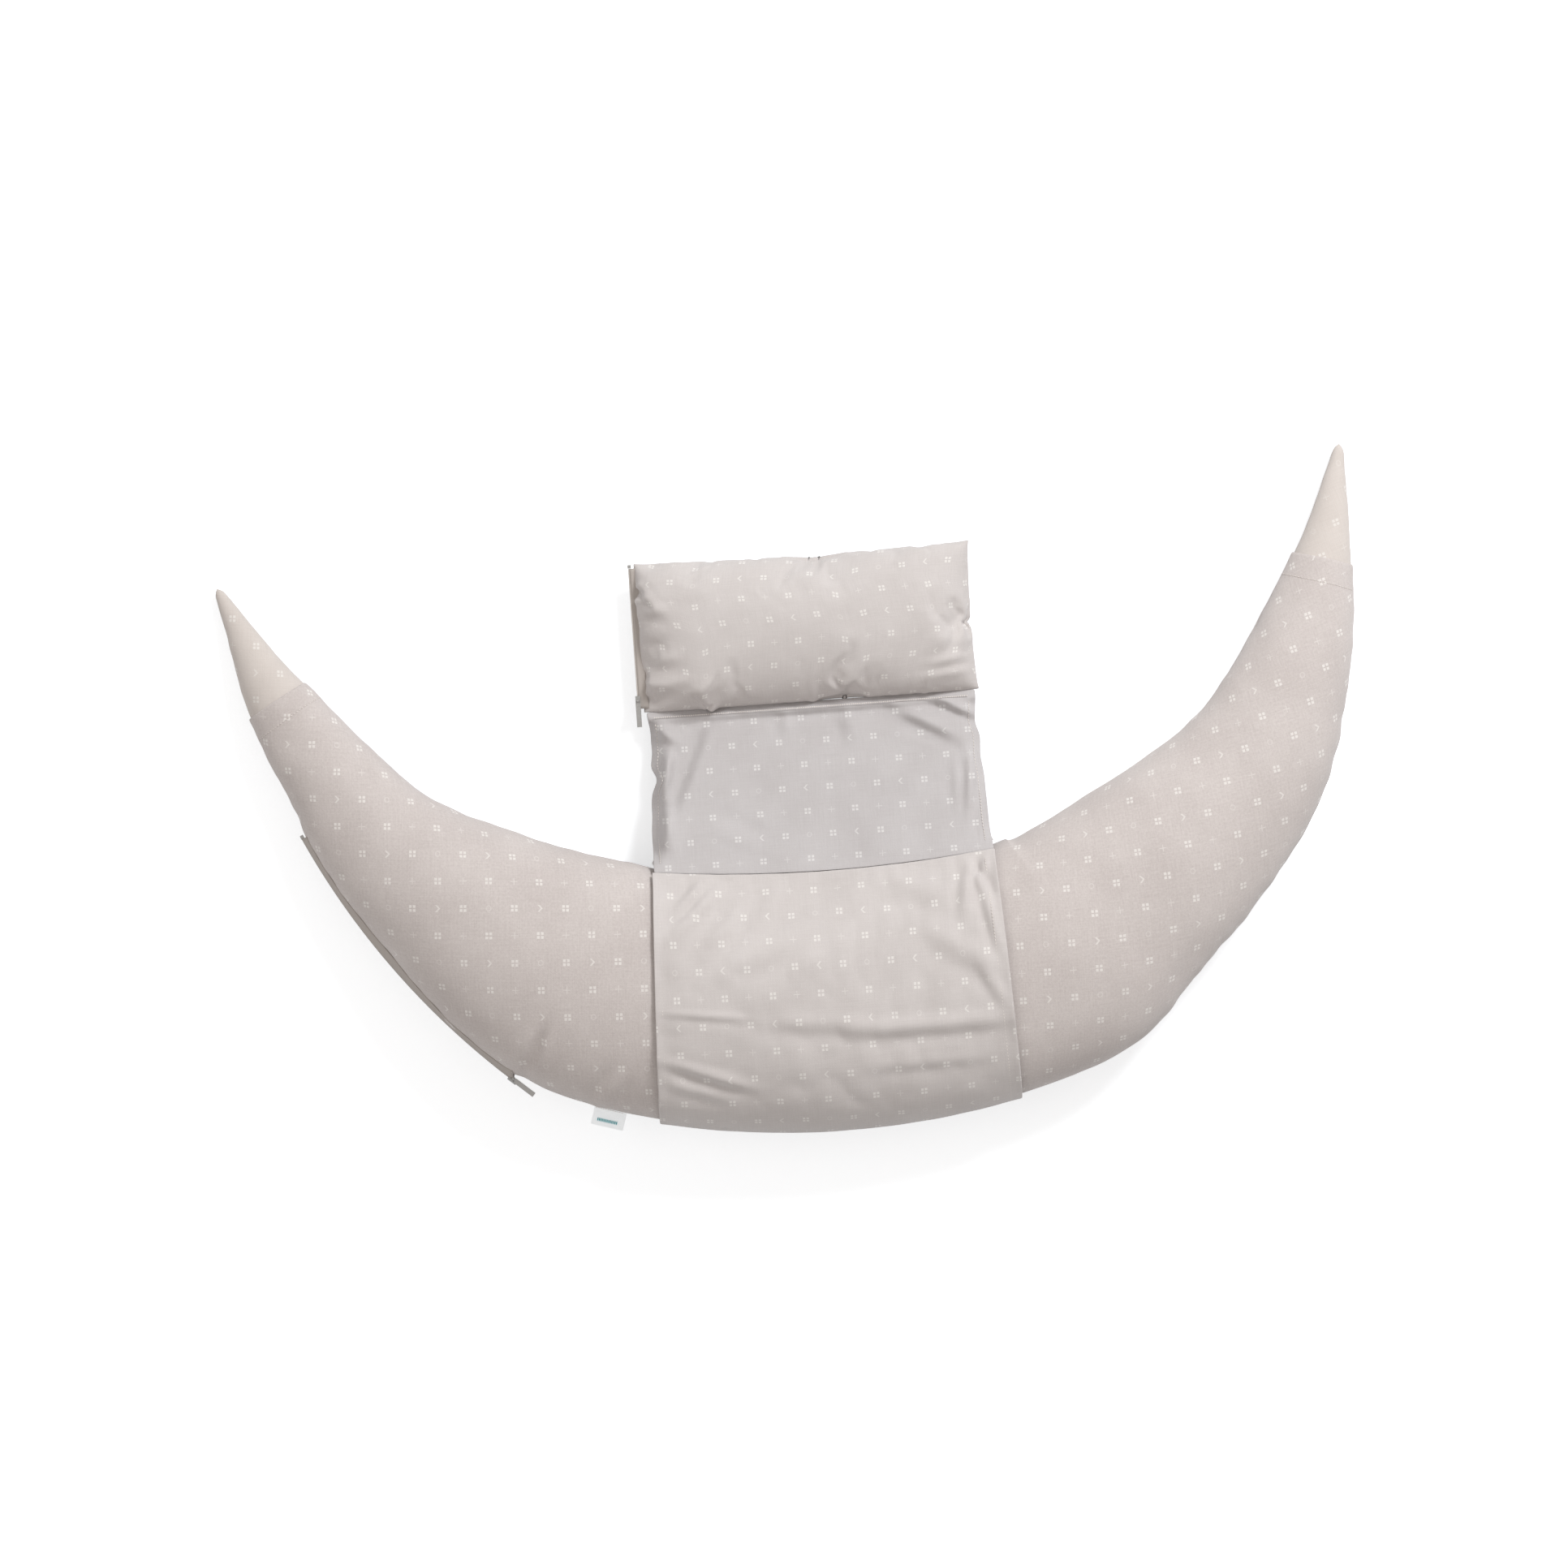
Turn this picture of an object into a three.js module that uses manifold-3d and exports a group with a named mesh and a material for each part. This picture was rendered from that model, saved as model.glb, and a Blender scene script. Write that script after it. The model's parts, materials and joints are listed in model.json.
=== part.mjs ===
// A crescent nursing pillow with a winged belly cushion, lying flat with its tips away from the front.
// Millimetres, +Z up. The origin is on the floor under the middle of the crescent, +X runs across the tips.
import * as THREE from 'three';
import { LoftGeometry } from 'three/addons/geometries/LoftGeometry.js';
import { mergeVertices } from 'three/addons/utils/BufferGeometryUtils.js';
import Module from 'manifold-3d';

const wasm = await Module();
wasm.setup();

// ---- driving dimensions ----

// The middle of the crescent follows an arc about a point on the Y axis.
const RING_CENTRE_Y = 660;
const RING_RADIUS = 672;
const MIDDLE_HALF_WIDTH = 123;
const MIDDLE_HEIGHT = 146;
const MIDDLE_END_ANGLE = 21;
const MIDDLE_STEPS = 10;
const ROOT_SPAN = 5; // the arms' curves start this many degrees before the middle's end
const MIDDLE_LIFT = 2;
const RIM_SHARE = 0.44; // height of the rim seam as a share of the thickness
const FLATTENING = 1.35; // how early the underside meets the floor

// Stations of each arm from its root to its tip: x, y, half width, thickness, lift off the floor.
const LEFT_ARM = [
  [-305, 66, 107, 136, 1],
  [-370, 120, 88, 122, 0],
  [-431, 173, 67, 98, 0],
  [-482, 243, 51, 78, 0],
  [-541, 336, 35, 54, 0],
  [-568, 395, 20, 34, 0],
  [-590, 444, 9, 17, 0],
];
const RIGHT_ARM = [
  [292, 72, 109, 138, 1],
  [373, 132, 94, 124, 0],
  [439, 198, 78, 106, 0],
  [475, 261, 64, 92, 0],
  [506, 336, 48, 70, 0],
  [533, 425, 27, 42, 0],
  [551, 509, 9, 17, 0],
];
const HEM_REACH = { left: 6, right: 6.5 }; // the cover's hems, counted from the middle's ends
const TIP_REACH = 8;
const HOOD_OVERLAP = 0.5; // a tip hood starts this far before the hem, under the cover
const STEPS_PER_STATION = 2;

// Layers of the crescent and of the cushion, as depths below the cover's face.
const COVER = [0, 1.2];
const HOOD = [1.7, 2.7];
const LINER = [3.2, 4];
const FILLING_DEPTH = 4.6;
const CUSHION_LINER = [4.2, 5];
const CUSHION_FILLING_DEPTH = 5.6;
const SEAM_GAP = 0.2; // each half of a cover stops this far from the seam plane
const HALF_SIDES = 7;

// Each arm bends about an upright axis on the centreline, round a knuckle of the middle's end.
const BEND_ANGLE = 21.5;
const KNUCKLE_RADIUS = 110;
const KNUCKLE_GAP = 1;
const KNUCKLE_SIDES = 48;
const BEND_INWARD = 35;
const BEND_OUTWARD = 10;
const BEND_MARGIN = 1;

// The sleeve round the middle, and the seam where the wing's panel leaves it.
const SLEEVE_GAP = 0.8;
const SLEEVE_CLOTH = 1.2;
const SLEEVE_INNER_SIDE = 172;
const SLEEVE_OUTER_SIDE = 183;
const SLEEVE_STEPS = 8;
const WING_SEAM = { y: 146, z: 90 };
const HINGE_GAP = 3.5; // cloth stops this far from a fold line

// The wing's flat panel and its cushion.
const PLY = 1.2;
const PLY_GAP = 0.4;
const PANEL_SEWN_SIDE = 165;
const CUSHION_SEAM = { y: 295, z: 28 };
const CUSHION_HALF_LENGTH = 171;
const CUSHION_HALF_DEPTH = 74.5;
const CUSHION_CENTRE_Y = 373;
const CUSHION_TOP = 47;
const CUSHION_PULL_IN = 3;
const CUSHION_STEPS = 12;
const CUSHION_INNER_HALF_LENGTH = 160;
const CUSHION_ROUNDNESS = 1.4;
const CUSHION_END_FALL = { power: 3, share: 0.75, least: 0.045 }; // how the crown falls to its ends

// Zips: a coil, two tapes, two stops, a slider and its puller, in the zip's own directions.
const COIL_RADIUS = 1.4;
const COIL_SIDES = 8;
const TAPE = { near: -2.7, far: -2.1, low: 0.5, high: 9 };
const SLIDER = { near: -1.6, far: 3.2, channel: 1.9, plate: 3.6, length: 10 };
const LUG = { width: 1, length: 2.4, top: 7.3 };
const PIN = { height: 6.1, radius: 0.6, sides: 12 };
const EYE = { inner: 1, outer: 2, width: 2, sides: 16 };
const TAB = { start: 2.6, length: 24, halfWidth: 2.5, thickness: 1.2 };
const STOP_SIZE = 3.4;
const STOP_GAP = 0.4;
const JOIN = 0.4; // how far pieces of one casting run into each other
const ARM_ZIP = { start: 1.4, middle: 3, end: 4.8, steps: 16, clear: 7.4, rest: 9 };
const CUSHION_ZIP = { startY: 300, length: 142, steps: 2, clear: 3.4, rest: 8 };

const LABEL = { width: 33, reach: 18, thickness: 0.8, angle: 16.9, gap: 1 };

const rad = THREE.MathUtils.degToRad;
const UP = new THREE.Vector3(0, 0, 1);
const pillow = new THREE.Group();

// ---- materials ----

const finish = (color, roughness, metalness = 0) =>
  new THREE.MeshStandardMaterial({ color, roughness, metalness });
const cotton = () => finish(0xcdc5c0, 0.92);
const wingCotton = () => finish(0xccc6c4, 0.92);
const lining = () => finish(0xece9e4, 0.95);
const fibre = () => finish(0xf4f2ee, 1);
const tapeCloth = () => finish(0xe6e1db, 0.9);
const nylon = () => finish(0xe9e6e0, 0.5);
const zinc = () => finish(0xc9c9c6, 0.35, 0.9);
const satin = () => finish(0xf6f5f2, 0.6);

function add(name, geometry, material) {
  const mesh = new THREE.Mesh(geometry, material);
  mesh.name = name;
  pillow.add(mesh);
  return mesh;
}

// ---- joining and cutting ----

function solid(geometry) {
  const bare = new THREE.BufferGeometry();
  bare.setAttribute('position', geometry.getAttribute('position'));
  bare.setIndex(geometry.index);
  const merged = mergeVertices(bare, 1e-4);
  return new wasm.Manifold(
    new wasm.Mesh({
      numProp: 3,
      vertProperties: new Float32Array(merged.attributes.position.array),
      triVerts: new Uint32Array(merged.index.array),
    }),
  );
}

function geometryOf(manifold) {
  const made = manifold.getMesh();
  const geometry = new THREE.BufferGeometry();
  geometry.setAttribute('position', new THREE.BufferAttribute(made.vertProperties, 3));
  geometry.setIndex(new THREE.BufferAttribute(made.triVerts, 1));
  geometry.computeVertexNormals();
  return geometry;
}

// ---- pillow sections ----

// A station of a soft body: its centre, its unit direction of travel, and the size of its section.
function station(x, y, direction, width, rim, top, bottom, roundness, reach = 0) {
  return { x, y, direction, width, rim, top, bottom, roundness, reach };
}

// The point at angle u of a station's section: 0 at the inner rim, 180 at the outer, over the top.
function sectionPoint(at, inset, degrees) {
  const u = rad(degrees);
  const across = -(at.width - inset) * Math.cos(u);
  const crown = Math.pow(Math.abs(Math.sin(u)), at.roundness);
  const upper = degrees <= 180;
  const rise = upper
    ? (at.top - inset) * crown
    : -(at.bottom - inset) * Math.min(1, FLATTENING * crown);
  const atTip = Math.abs(at.reach) >= TIP_REACH;
  const trim = atTip ? -Math.sign(at.reach) * inset : 0;
  return new THREE.Vector3(
    at.x + at.direction.y * across + at.direction.x * trim,
    at.y - at.direction.x * across + at.direction.y * trim,
    at.rim + rise,
  );
}

function fullSection(at, inset) {
  const points = [];
  for (let k = 0; k < 2 * HALF_SIDES; k++) {
    points.push(sectionPoint(at, inset, (180 * k) / HALF_SIDES));
  }
  return points;
}

// Half of a shell between two depths: the upper half over the rim seam, or the lower one under it.
function halfShellSection(at, [outer, inner], upper) {
  const points = [];
  const start = upper ? 0 : 180;
  const shift = upper ? SEAM_GAP : -SEAM_GAP;
  for (let k = 0; k <= HALF_SIDES; k++) {
    points.push(sectionPoint(at, outer, start + (180 * k) / HALF_SIDES));
  }
  for (let k = HALF_SIDES; k >= 0; k--) {
    points.push(sectionPoint(at, inner, start + (180 * k) / HALF_SIDES));
  }
  [0, HALF_SIDES, HALF_SIDES + 1, 2 * HALF_SIDES + 1].forEach((k) => {
    points[k].z = at.rim + shift;
  });
  return points;
}

const loft = (sections) => new LoftGeometry(sections, { capStart: true, capEnd: true });
const bodyLoft = (stations, inset) => loft(stations.map((at) => fullSection(at, inset)));
const halfLoft = (stations, depths, upper) =>
  loft(stations.map((at) => halfShellSection(at, depths, upper)));

// ---- the crescent's stations ----

function crescentStation(x, y, direction, halfWidth, thickness, lift, reach) {
  const bottom = RIM_SHARE * thickness;
  return station(x, y, direction, halfWidth, lift + bottom, thickness - bottom, bottom, 1, reach);
}

function middlePlace(degrees) {
  const a = rad(degrees);
  return {
    x: RING_RADIUS * Math.sin(a),
    y: RING_CENTRE_Y - RING_RADIUS * Math.cos(a),
    direction: new THREE.Vector2(Math.cos(a), Math.sin(a)),
  };
}

function middleStation(degrees) {
  const { x, y, direction } = middlePlace(degrees);
  const reach = degrees / (MIDDLE_END_ANGLE + 1e-6);
  return crescentStation(x, y, direction, MIDDLE_HALF_WIDTH, MIDDLE_HEIGHT, MIDDLE_LIFT, reach);
}

// An arm's curves run from two places on the middle's arc through the arm's own stations.
function armCurves(side, rows) {
  const angles = [MIDDLE_END_ANGLE - ROOT_SPAN, MIDDLE_END_ANGLE];
  const roots = angles.map((degrees) => middlePlace(side * degrees));
  const places = roots.map(({ x, y }) => new THREE.Vector3(x, y, 0));
  const sizes = roots.map(() => new THREE.Vector3(MIDDLE_HALF_WIDTH, MIDDLE_HEIGHT, MIDDLE_LIFT));
  for (const [x, y, halfWidth, thickness, lift] of rows) {
    places.push(new THREE.Vector3(x, y, 0));
    sizes.push(new THREE.Vector3(halfWidth, thickness, lift));
  }
  const smooth = (points) => new THREE.CatmullRomCurve3(points, false, 'catmullrom', 0.5);
  return { side, path: smooth(places), size: smooth(sizes) };
}

// reach 1 is the end of the middle, 8 the tip.
function armStation({ side, path, size }, reach) {
  const t = reach / TIP_REACH;
  const place = path.getPoint(t);
  const along = path.getTangent(t).multiplyScalar(side);
  const { x: halfWidth, y: thickness, z: lift } = size.getPoint(t);
  const direction = new THREE.Vector2(along.x, along.y).normalize();
  return crescentStation(place.x, place.y, direction, halfWidth, thickness, lift, side * reach);
}

const leftArm = armCurves(-1, LEFT_ARM);
const rightArm = armCurves(1, RIGHT_ARM);

const crescent = [];
for (let k = TIP_REACH * STEPS_PER_STATION; k >= STEPS_PER_STATION; k--) {
  crescent.push(armStation(leftArm, k / STEPS_PER_STATION));
}
for (let k = 1; k < MIDDLE_STEPS; k++) {
  crescent.push(middleStation(MIDDLE_END_ANGLE * ((2 * k) / MIDDLE_STEPS - 1)));
}
for (let k = STEPS_PER_STATION; k <= TIP_REACH * STEPS_PER_STATION; k++) {
  crescent.push(armStation(rightArm, k / STEPS_PER_STATION));
}

function between(low, high) {
  return crescent.filter(({ reach }) => reach >= low - 1e-3 && reach <= high + 1e-3);
}

// ---- the zones that the middle and each arm keep ----

const ZONE_HEIGHT = 260;
const ZONE_REACH = 1200;
const FAN_STEPS = 4;

function prism(corners) {
  const outline = new THREE.Shape(corners.map(([x, y]) => new THREE.Vector2(x, y)));
  const geometry = new THREE.ExtrudeGeometry(outline, { depth: ZONE_HEIGHT, bevelEnabled: false });
  return solid(geometry.translate(0, 0, -ZONE_HEIGHT / 4));
}

function knuckle(side, radius) {
  const { x, y } = middlePlace(side * BEND_ANGLE);
  const geometry = new THREE.CylinderGeometry(radius, radius, ZONE_HEIGHT, KNUCKLE_SIDES);
  return solid(geometry.rotateX(Math.PI / 2).translate(x, y, ZONE_HEIGHT / 4));
}

function middleZone() {
  const corner = (side) => {
    const a = rad(side * BEND_ANGLE);
    return [ZONE_REACH * Math.sin(a), RING_CENTRE_Y - ZONE_REACH * Math.cos(a)];
  };
  return prism([[0, RING_CENTRE_Y], corner(-1), corner(1)])
    .add(knuckle(-1, KNUCKLE_RADIUS))
    .add(knuckle(1, KNUCKLE_RADIUS));
}

// An arm starts clear of the knuckle, and clear of the middle's rims at both limits of its bend.
function armZone(side) {
  const { x, y } = middlePlace(side * BEND_ANGLE);
  const inner = 90 + side * BEND_ANGLE;
  const ray = (degrees) => {
    const a = rad(degrees);
    return [x + ZONE_REACH * Math.cos(a), y + ZONE_REACH * Math.sin(a)];
  };
  const innerRay = inner - side * (BEND_INWARD + BEND_MARGIN);
  const outerRay = inner - side * (180 - BEND_OUTWARD - BEND_MARGIN);
  const corners = [[x, y]];
  for (let k = 0; k <= FAN_STEPS; k++) {
    corners.push(ray(THREE.MathUtils.lerp(innerRay, outerRay, k / FAN_STEPS)));
  }
  return prism(corners).subtract(knuckle(side, KNUCKLE_RADIUS + KNUCKLE_GAP));
}

// ---- the crescent's layers ----

const fillingLoft = solid(bodyLoft(crescent, FILLING_DEPTH));
const linerInside = solid(bodyLoft(crescent, LINER[1]));
const linerLoft = solid(bodyLoft(crescent, LINER[0])).subtract(linerInside);
const coverStations = between(-HEM_REACH.left, HEM_REACH.right);
const coverTopLoft = solid(halfLoft(coverStations, COVER, true));
const coverBottomLoft = solid(halfLoft(coverStations, COVER, false));

function crescentLayers(prefix, zone) {
  add(prefix + '_filling', geometryOf(fillingLoft.intersect(zone)), fibre());
  add(prefix + '_liner', geometryOf(linerLoft.intersect(zone)), lining());
  add(prefix + '_cover_top', geometryOf(coverTopLoft.intersect(zone)), cotton());
  add(prefix + '_cover_bottom', geometryOf(coverBottomLoft.intersect(zone)), cotton());
}

function tipHood(prefix, side) {
  const start = HEM_REACH[prefix] - HOOD_OVERLAP;
  const range = (first) => (side < 0 ? between(-TIP_REACH, -first) : between(first, TIP_REACH));
  const outside = solid(bodyLoft(range(start), HOOD[0]));
  const inside = solid(bodyLoft(range(start - 1 / STEPS_PER_STATION), HOOD[1]));
  add(prefix + '_tip_hood', geometryOf(outside.subtract(inside)), cotton());
}

crescentLayers('middle', middleZone());
crescentLayers('left_arm', armZone(-1));
crescentLayers('right_arm', armZone(1));
tipHood('left', -1);
tipHood('right', 1);

// ---- the sleeve ----

// A point of the sleeve: its sides are straight, so each radius has its own half length.
function sleevePoint(share, inset, degrees) {
  const local = sectionPoint(middleStation(0), inset, degrees);
  const radius = RING_CENTRE_Y - local.y;
  const blend = (radius - RING_RADIUS + MIDDLE_HALF_WIDTH) / (2 * MIDDLE_HALF_WIDTH);
  const x = share * THREE.MathUtils.lerp(SLEEVE_INNER_SIDE, SLEEVE_OUTER_SIDE, blend);
  return new THREE.Vector3(x, RING_CENTRE_Y - Math.sqrt(radius * radius - x * x), local.z);
}

const seamPoint = (share, height) =>
  new THREE.Vector3(share * SLEEVE_INNER_SIDE, WING_SEAM.y - HINGE_GAP, WING_SEAM.z + height);

// The upper cloth runs straight from the crown to the seam, the lower one round the inner rim first.
function sleeveLine(share, upper, inset, seamHeight) {
  const sign = upper ? 1 : -1;
  const points = [];
  for (let k = 1; k <= HALF_SIDES; k++) {
    points.push(sleevePoint(share, inset, (sign * 180 * k) / HALF_SIDES + (upper ? 0 : 360)));
  }
  points[HALF_SIDES - 1].z = middleStation(0).rim + sign * SEAM_GAP;
  if (!upper) points.unshift(sleevePoint(share, inset, 360));
  points.unshift(seamPoint(share, sign * seamHeight));
  return points;
}

function sleeveHalf(upper) {
  const sections = [];
  for (let n = 0; n <= SLEEVE_STEPS; n++) {
    const share = (2 * n) / SLEEVE_STEPS - 1;
    const face = sleeveLine(share, upper, -SLEEVE_GAP - SLEEVE_CLOTH, SEAM_GAP + SLEEVE_CLOTH);
    const back = sleeveLine(share, upper, -SLEEVE_GAP, SEAM_GAP);
    sections.push(upper ? [...face, ...back.reverse()] : [...face.reverse(), ...back]);
  }
  return loft(sections);
}

add('sleeve_front', sleeveHalf(true), wingCotton());
add('sleeve_under', sleeveHalf(false), wingCotton());

// ---- the wing's panel ----

function panelPly(lower) {
  const fall = WING_SEAM.z - CUSHION_SEAM.z;
  const run = CUSHION_SEAM.y - WING_SEAM.y;
  const length = Math.hypot(fall, run) - HINGE_GAP;
  const outline = new THREE.Shape([
    new THREE.Vector2(-SLEEVE_INNER_SIDE, HINGE_GAP),
    new THREE.Vector2(SLEEVE_INNER_SIDE, HINGE_GAP),
    new THREE.Vector2(PANEL_SEWN_SIDE, length),
    new THREE.Vector2(-PANEL_SEWN_SIDE, length),
  ]);
  const geometry = new THREE.ExtrudeGeometry(outline, { depth: PLY, bevelEnabled: false });
  geometry.translate(0, 0, lower ? -PLY - PLY_GAP / 2 : PLY_GAP / 2);
  return geometry.rotateX(-Math.atan2(fall, run)).translate(0, WING_SEAM.y, WING_SEAM.z);
}

add('panel_front_ply', panelPly(false), wingCotton());
add('panel_back_ply', panelPly(true), wingCotton());

// ---- the wing's cushion ----

function cushionStations(halfLength) {
  const { power, share: fall, least } = CUSHION_END_FALL;
  const { z: rim } = CUSHION_SEAM;
  const direction = new THREE.Vector2(1, 0);
  const stations = [];
  for (let k = 0; k <= CUSHION_STEPS; k++) {
    const x = -halfLength * Math.cos((Math.PI * k) / CUSHION_STEPS);
    const share = Math.abs(x) / CUSHION_HALF_LENGTH;
    const crown = Math.max(least, Math.pow(1 - Math.pow(share, power), fall));
    const width = CUSHION_HALF_DEPTH - CUSHION_PULL_IN * (1 - share * share);
    const top = CUSHION_TOP * crown + 1;
    const bottom = rim * crown + 1 - crown;
    stations.push(
      station(x, CUSHION_CENTRE_Y, direction, width, rim, top, bottom, CUSHION_ROUNDNESS),
    );
  }
  return stations;
}

const cushionShell = cushionStations(CUSHION_HALF_LENGTH);
const cushionInside = cushionStations(CUSHION_INNER_HALF_LENGTH);

// The half of a cushion layer above or below its flat seam plane.
function cushionHalf(stations, [outer, inner], upper) {
  const shell = solid(bodyLoft(stations, outer)).subtract(solid(bodyLoft(stations, inner)));
  const size = 4 * CUSHION_HALF_LENGTH;
  const shift = (upper ? 1 : -1) * (size / 2 + SEAM_GAP);
  const side = new THREE.BoxGeometry(size, size, size);
  side.translate(0, CUSHION_CENTRE_Y, CUSHION_SEAM.z + shift);
  return geometryOf(shell.intersect(solid(side)));
}

add('cushion_filling', bodyLoft(cushionInside, CUSHION_FILLING_DEPTH), fibre());
add('cushion_liner_front', cushionHalf(cushionInside, CUSHION_LINER, true), lining());
add('cushion_liner_back', cushionHalf(cushionInside, CUSHION_LINER, false), lining());
add('cushion_cover_front', cushionHalf(cushionShell, COVER, true), wingCotton());
add('cushion_cover_back', cushionHalf(cushionShell, COVER, false), wingCotton());

// ---- zips ----

// A zip's line gives, at a distance along it, a place and three directions: along, out of the rim, and up.
function straightLine(start, along, out) {
  const up = new THREE.Vector3().crossVectors(along, out);
  return (s) => ({ place: start.clone().addScaledVector(along, s), along, out, up });
}

// The arc through three points, starting at the first one.
function arcLine(a, b, c) {
  const ab = new THREE.Vector3().subVectors(b, a);
  const ac = new THREE.Vector3().subVectors(c, a);
  const normal = new THREE.Vector3().crossVectors(ab, ac);
  const toCentre = new THREE.Vector3()
    .crossVectors(normal, ab)
    .multiplyScalar(ac.lengthSq())
    .add(new THREE.Vector3().crossVectors(ac, normal).multiplyScalar(ab.lengthSq()))
    .divideScalar(2 * normal.lengthSq());
  const centre = a.clone().add(toCentre);
  const radius = toCentre.length();
  const axis = normal.clone().normalize();
  const first = toCentre.clone().negate().normalize();
  const angle = (point) => first.angleTo(point.clone().sub(centre));
  const line = (s) => {
    const out = first.clone().applyAxisAngle(axis, s / radius);
    const along = new THREE.Vector3().crossVectors(axis, out);
    const up = new THREE.Vector3().crossVectors(along, out);
    return { place: centre.clone().addScaledVector(out, radius), along, out, up };
  };
  return { line, length: angle(c) * radius, centre, axis, radius };
}

function zipPoint(at, out, up) {
  return at.place.clone().addScaledVector(at.out, out).addScaledVector(at.up, up);
}

function alongLine(line, length, steps, outline) {
  const sections = [];
  for (let k = 0; k <= steps; k++) {
    const at = line((length * k) / steps);
    sections.push(outline.map(([out, up]) => zipPoint(at, out, up)));
  }
  return loft(sections);
}

function ringOutline(radius, sides) {
  const outline = [];
  for (let k = 0; k < sides; k++) {
    const a = (2 * Math.PI * k) / sides;
    outline.push([radius * Math.cos(a), radius * Math.sin(a)]);
  }
  return outline;
}

const rectangle = (left, right, low, high) => [
  [left, low],
  [right, low],
  [right, high],
  [left, high],
];

// Geometry drawn along the zip (x along, y out, z up) is put at a place on its line.
function seat(mesh, at) {
  const turn = new THREE.Matrix4().makeBasis(at.along, at.out, at.up);
  mesh.position.copy(at.place);
  mesh.quaternion.setFromRotationMatrix(turn);
}

function block(length, [y0, y1], [z0, z1]) {
  const box = new THREE.BoxGeometry(length, y1 - y0, z1 - z0);
  return solid(box.translate(0, (y0 + y1) / 2, (z0 + z1) / 2));
}

function sliderGeometry() {
  const { near, far, channel, plate, length } = SLIDER;
  const span = [near, far];
  const lugSpan = [plate - JOIN, LUG.top];
  const pin = new THREE.CylinderGeometry(PIN.radius, PIN.radius, far - near - JOIN, PIN.sides);
  const body = block(length, span, [-plate, plate])
    .subtract(block(length + 2, [near - 1, channel], [-channel, channel]))
    .add(block(LUG.length, [near, near + LUG.width], lugSpan))
    .add(block(LUG.length, [far - LUG.width, far], lugSpan))
    .add(solid(pin.translate(0, (near + far) / 2, PIN.height)));
  return geometryOf(body);
}

// The puller lies back along the zip from its eye on the slider's pin.
function pullerGeometry() {
  const middle = (SLIDER.near + SLIDER.far) / 2;
  const half = EYE.width / 2;
  const eye = new THREE.LatheGeometry(
    [
      new THREE.Vector2(EYE.inner, -half),
      new THREE.Vector2(EYE.outer, -half),
      new THREE.Vector2(EYE.outer, half),
      new THREE.Vector2(EYE.inner, half),
      new THREE.Vector2(EYE.inner, -half),
    ],
    EYE.sides,
  );
  const thick = [-TAB.thickness / 2, TAB.thickness / 2];
  const neckStart = EYE.inner + JOIN;
  const neckLength = TAB.start + 1 - neckStart;
  const neckPlace = [-neckStart - neckLength / 2, 0, 0];
  const neck = block(neckLength, [-half, half], thick).translate(neckPlace);
  const tabPlace = [-TAB.start - TAB.length / 2, 0, 0];
  const tab = block(TAB.length, [-TAB.halfWidth, TAB.halfWidth], thick).translate(tabPlace);
  return geometryOf(solid(eye).add(neck).add(tab).translate([0, middle, PIN.height]));
}

function makeZip(prefix, tapes, line, length, { steps, rest }) {
  const { near, far, low, high } = TAPE;
  const run = (outline) => alongLine(line, length, steps, outline);
  add(prefix + '_coil', run(ringOutline(COIL_RADIUS, COIL_SIDES)), nylon());
  add(prefix + '_tape_' + tapes[0], run(rectangle(near, far, low, high)), tapeCloth());
  add(prefix + '_tape_' + tapes[1], run(rectangle(near, far, -high, -low)), tapeCloth());
  const past = STOP_SIZE / 2 + STOP_GAP;
  const stop = () => new THREE.BoxGeometry(STOP_SIZE, STOP_SIZE, STOP_SIZE);
  seat(add(prefix + '_start_stop', stop(), zinc()), line(-past));
  seat(add(prefix + '_end_stop', stop(), zinc()), line(length + past));
  seat(add(prefix + '_slider', sliderGeometry(), zinc()), line(rest));
  seat(add(prefix + '_puller', pullerGeometry(), zinc()), line(rest));
}

// A point clear of the left arm's outer rim.
function rimPoint(reach, clear) {
  const at = armStation(leftArm, reach);
  return new THREE.Vector3(
    at.x + at.direction.y * (at.width + clear),
    at.y - at.direction.x * (at.width + clear),
    at.rim,
  );
}

const armZip = arcLine(
  rimPoint(ARM_ZIP.start, ARM_ZIP.clear),
  rimPoint(ARM_ZIP.middle, ARM_ZIP.clear),
  rimPoint(ARM_ZIP.end, ARM_ZIP.clear),
);
makeZip('arm_zip', ['upper', 'lower'], armZip.line, armZip.length, ARM_ZIP);

const cushionZipStart = new THREE.Vector3(
  -CUSHION_HALF_LENGTH - CUSHION_ZIP.clear,
  CUSHION_ZIP.startY,
  CUSHION_SEAM.z,
);
const away = new THREE.Vector3(0, 1, 0);
const leftwards = new THREE.Vector3(-1, 0, 0);
const cushionZip = straightLine(cushionZipStart, away, leftwards);
makeZip('cushion_zip', ['front', 'back'], cushionZip, CUSHION_ZIP.length, CUSHION_ZIP);

// ---- the woven label in the rim seam, left of the sleeve ----

const labelAt = middlePlace(-LABEL.angle);
const labelOut = MIDDLE_HALF_WIDTH + LABEL.gap + LABEL.reach / 2;
const labelCloth = new THREE.BoxGeometry(LABEL.width, LABEL.reach, LABEL.thickness);
const label = add('woven_label', labelCloth, satin());
label.position.set(
  labelAt.x + labelAt.direction.y * labelOut,
  labelAt.y - labelAt.direction.x * labelOut,
  middleStation(0).rim,
);
label.quaternion.setFromAxisAngle(UP, rad(-LABEL.angle));

export default pillow;
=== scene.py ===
import json
import math

import bmesh
import bpy
import numpy as np
from mathutils import Matrix, Vector, noise


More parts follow.
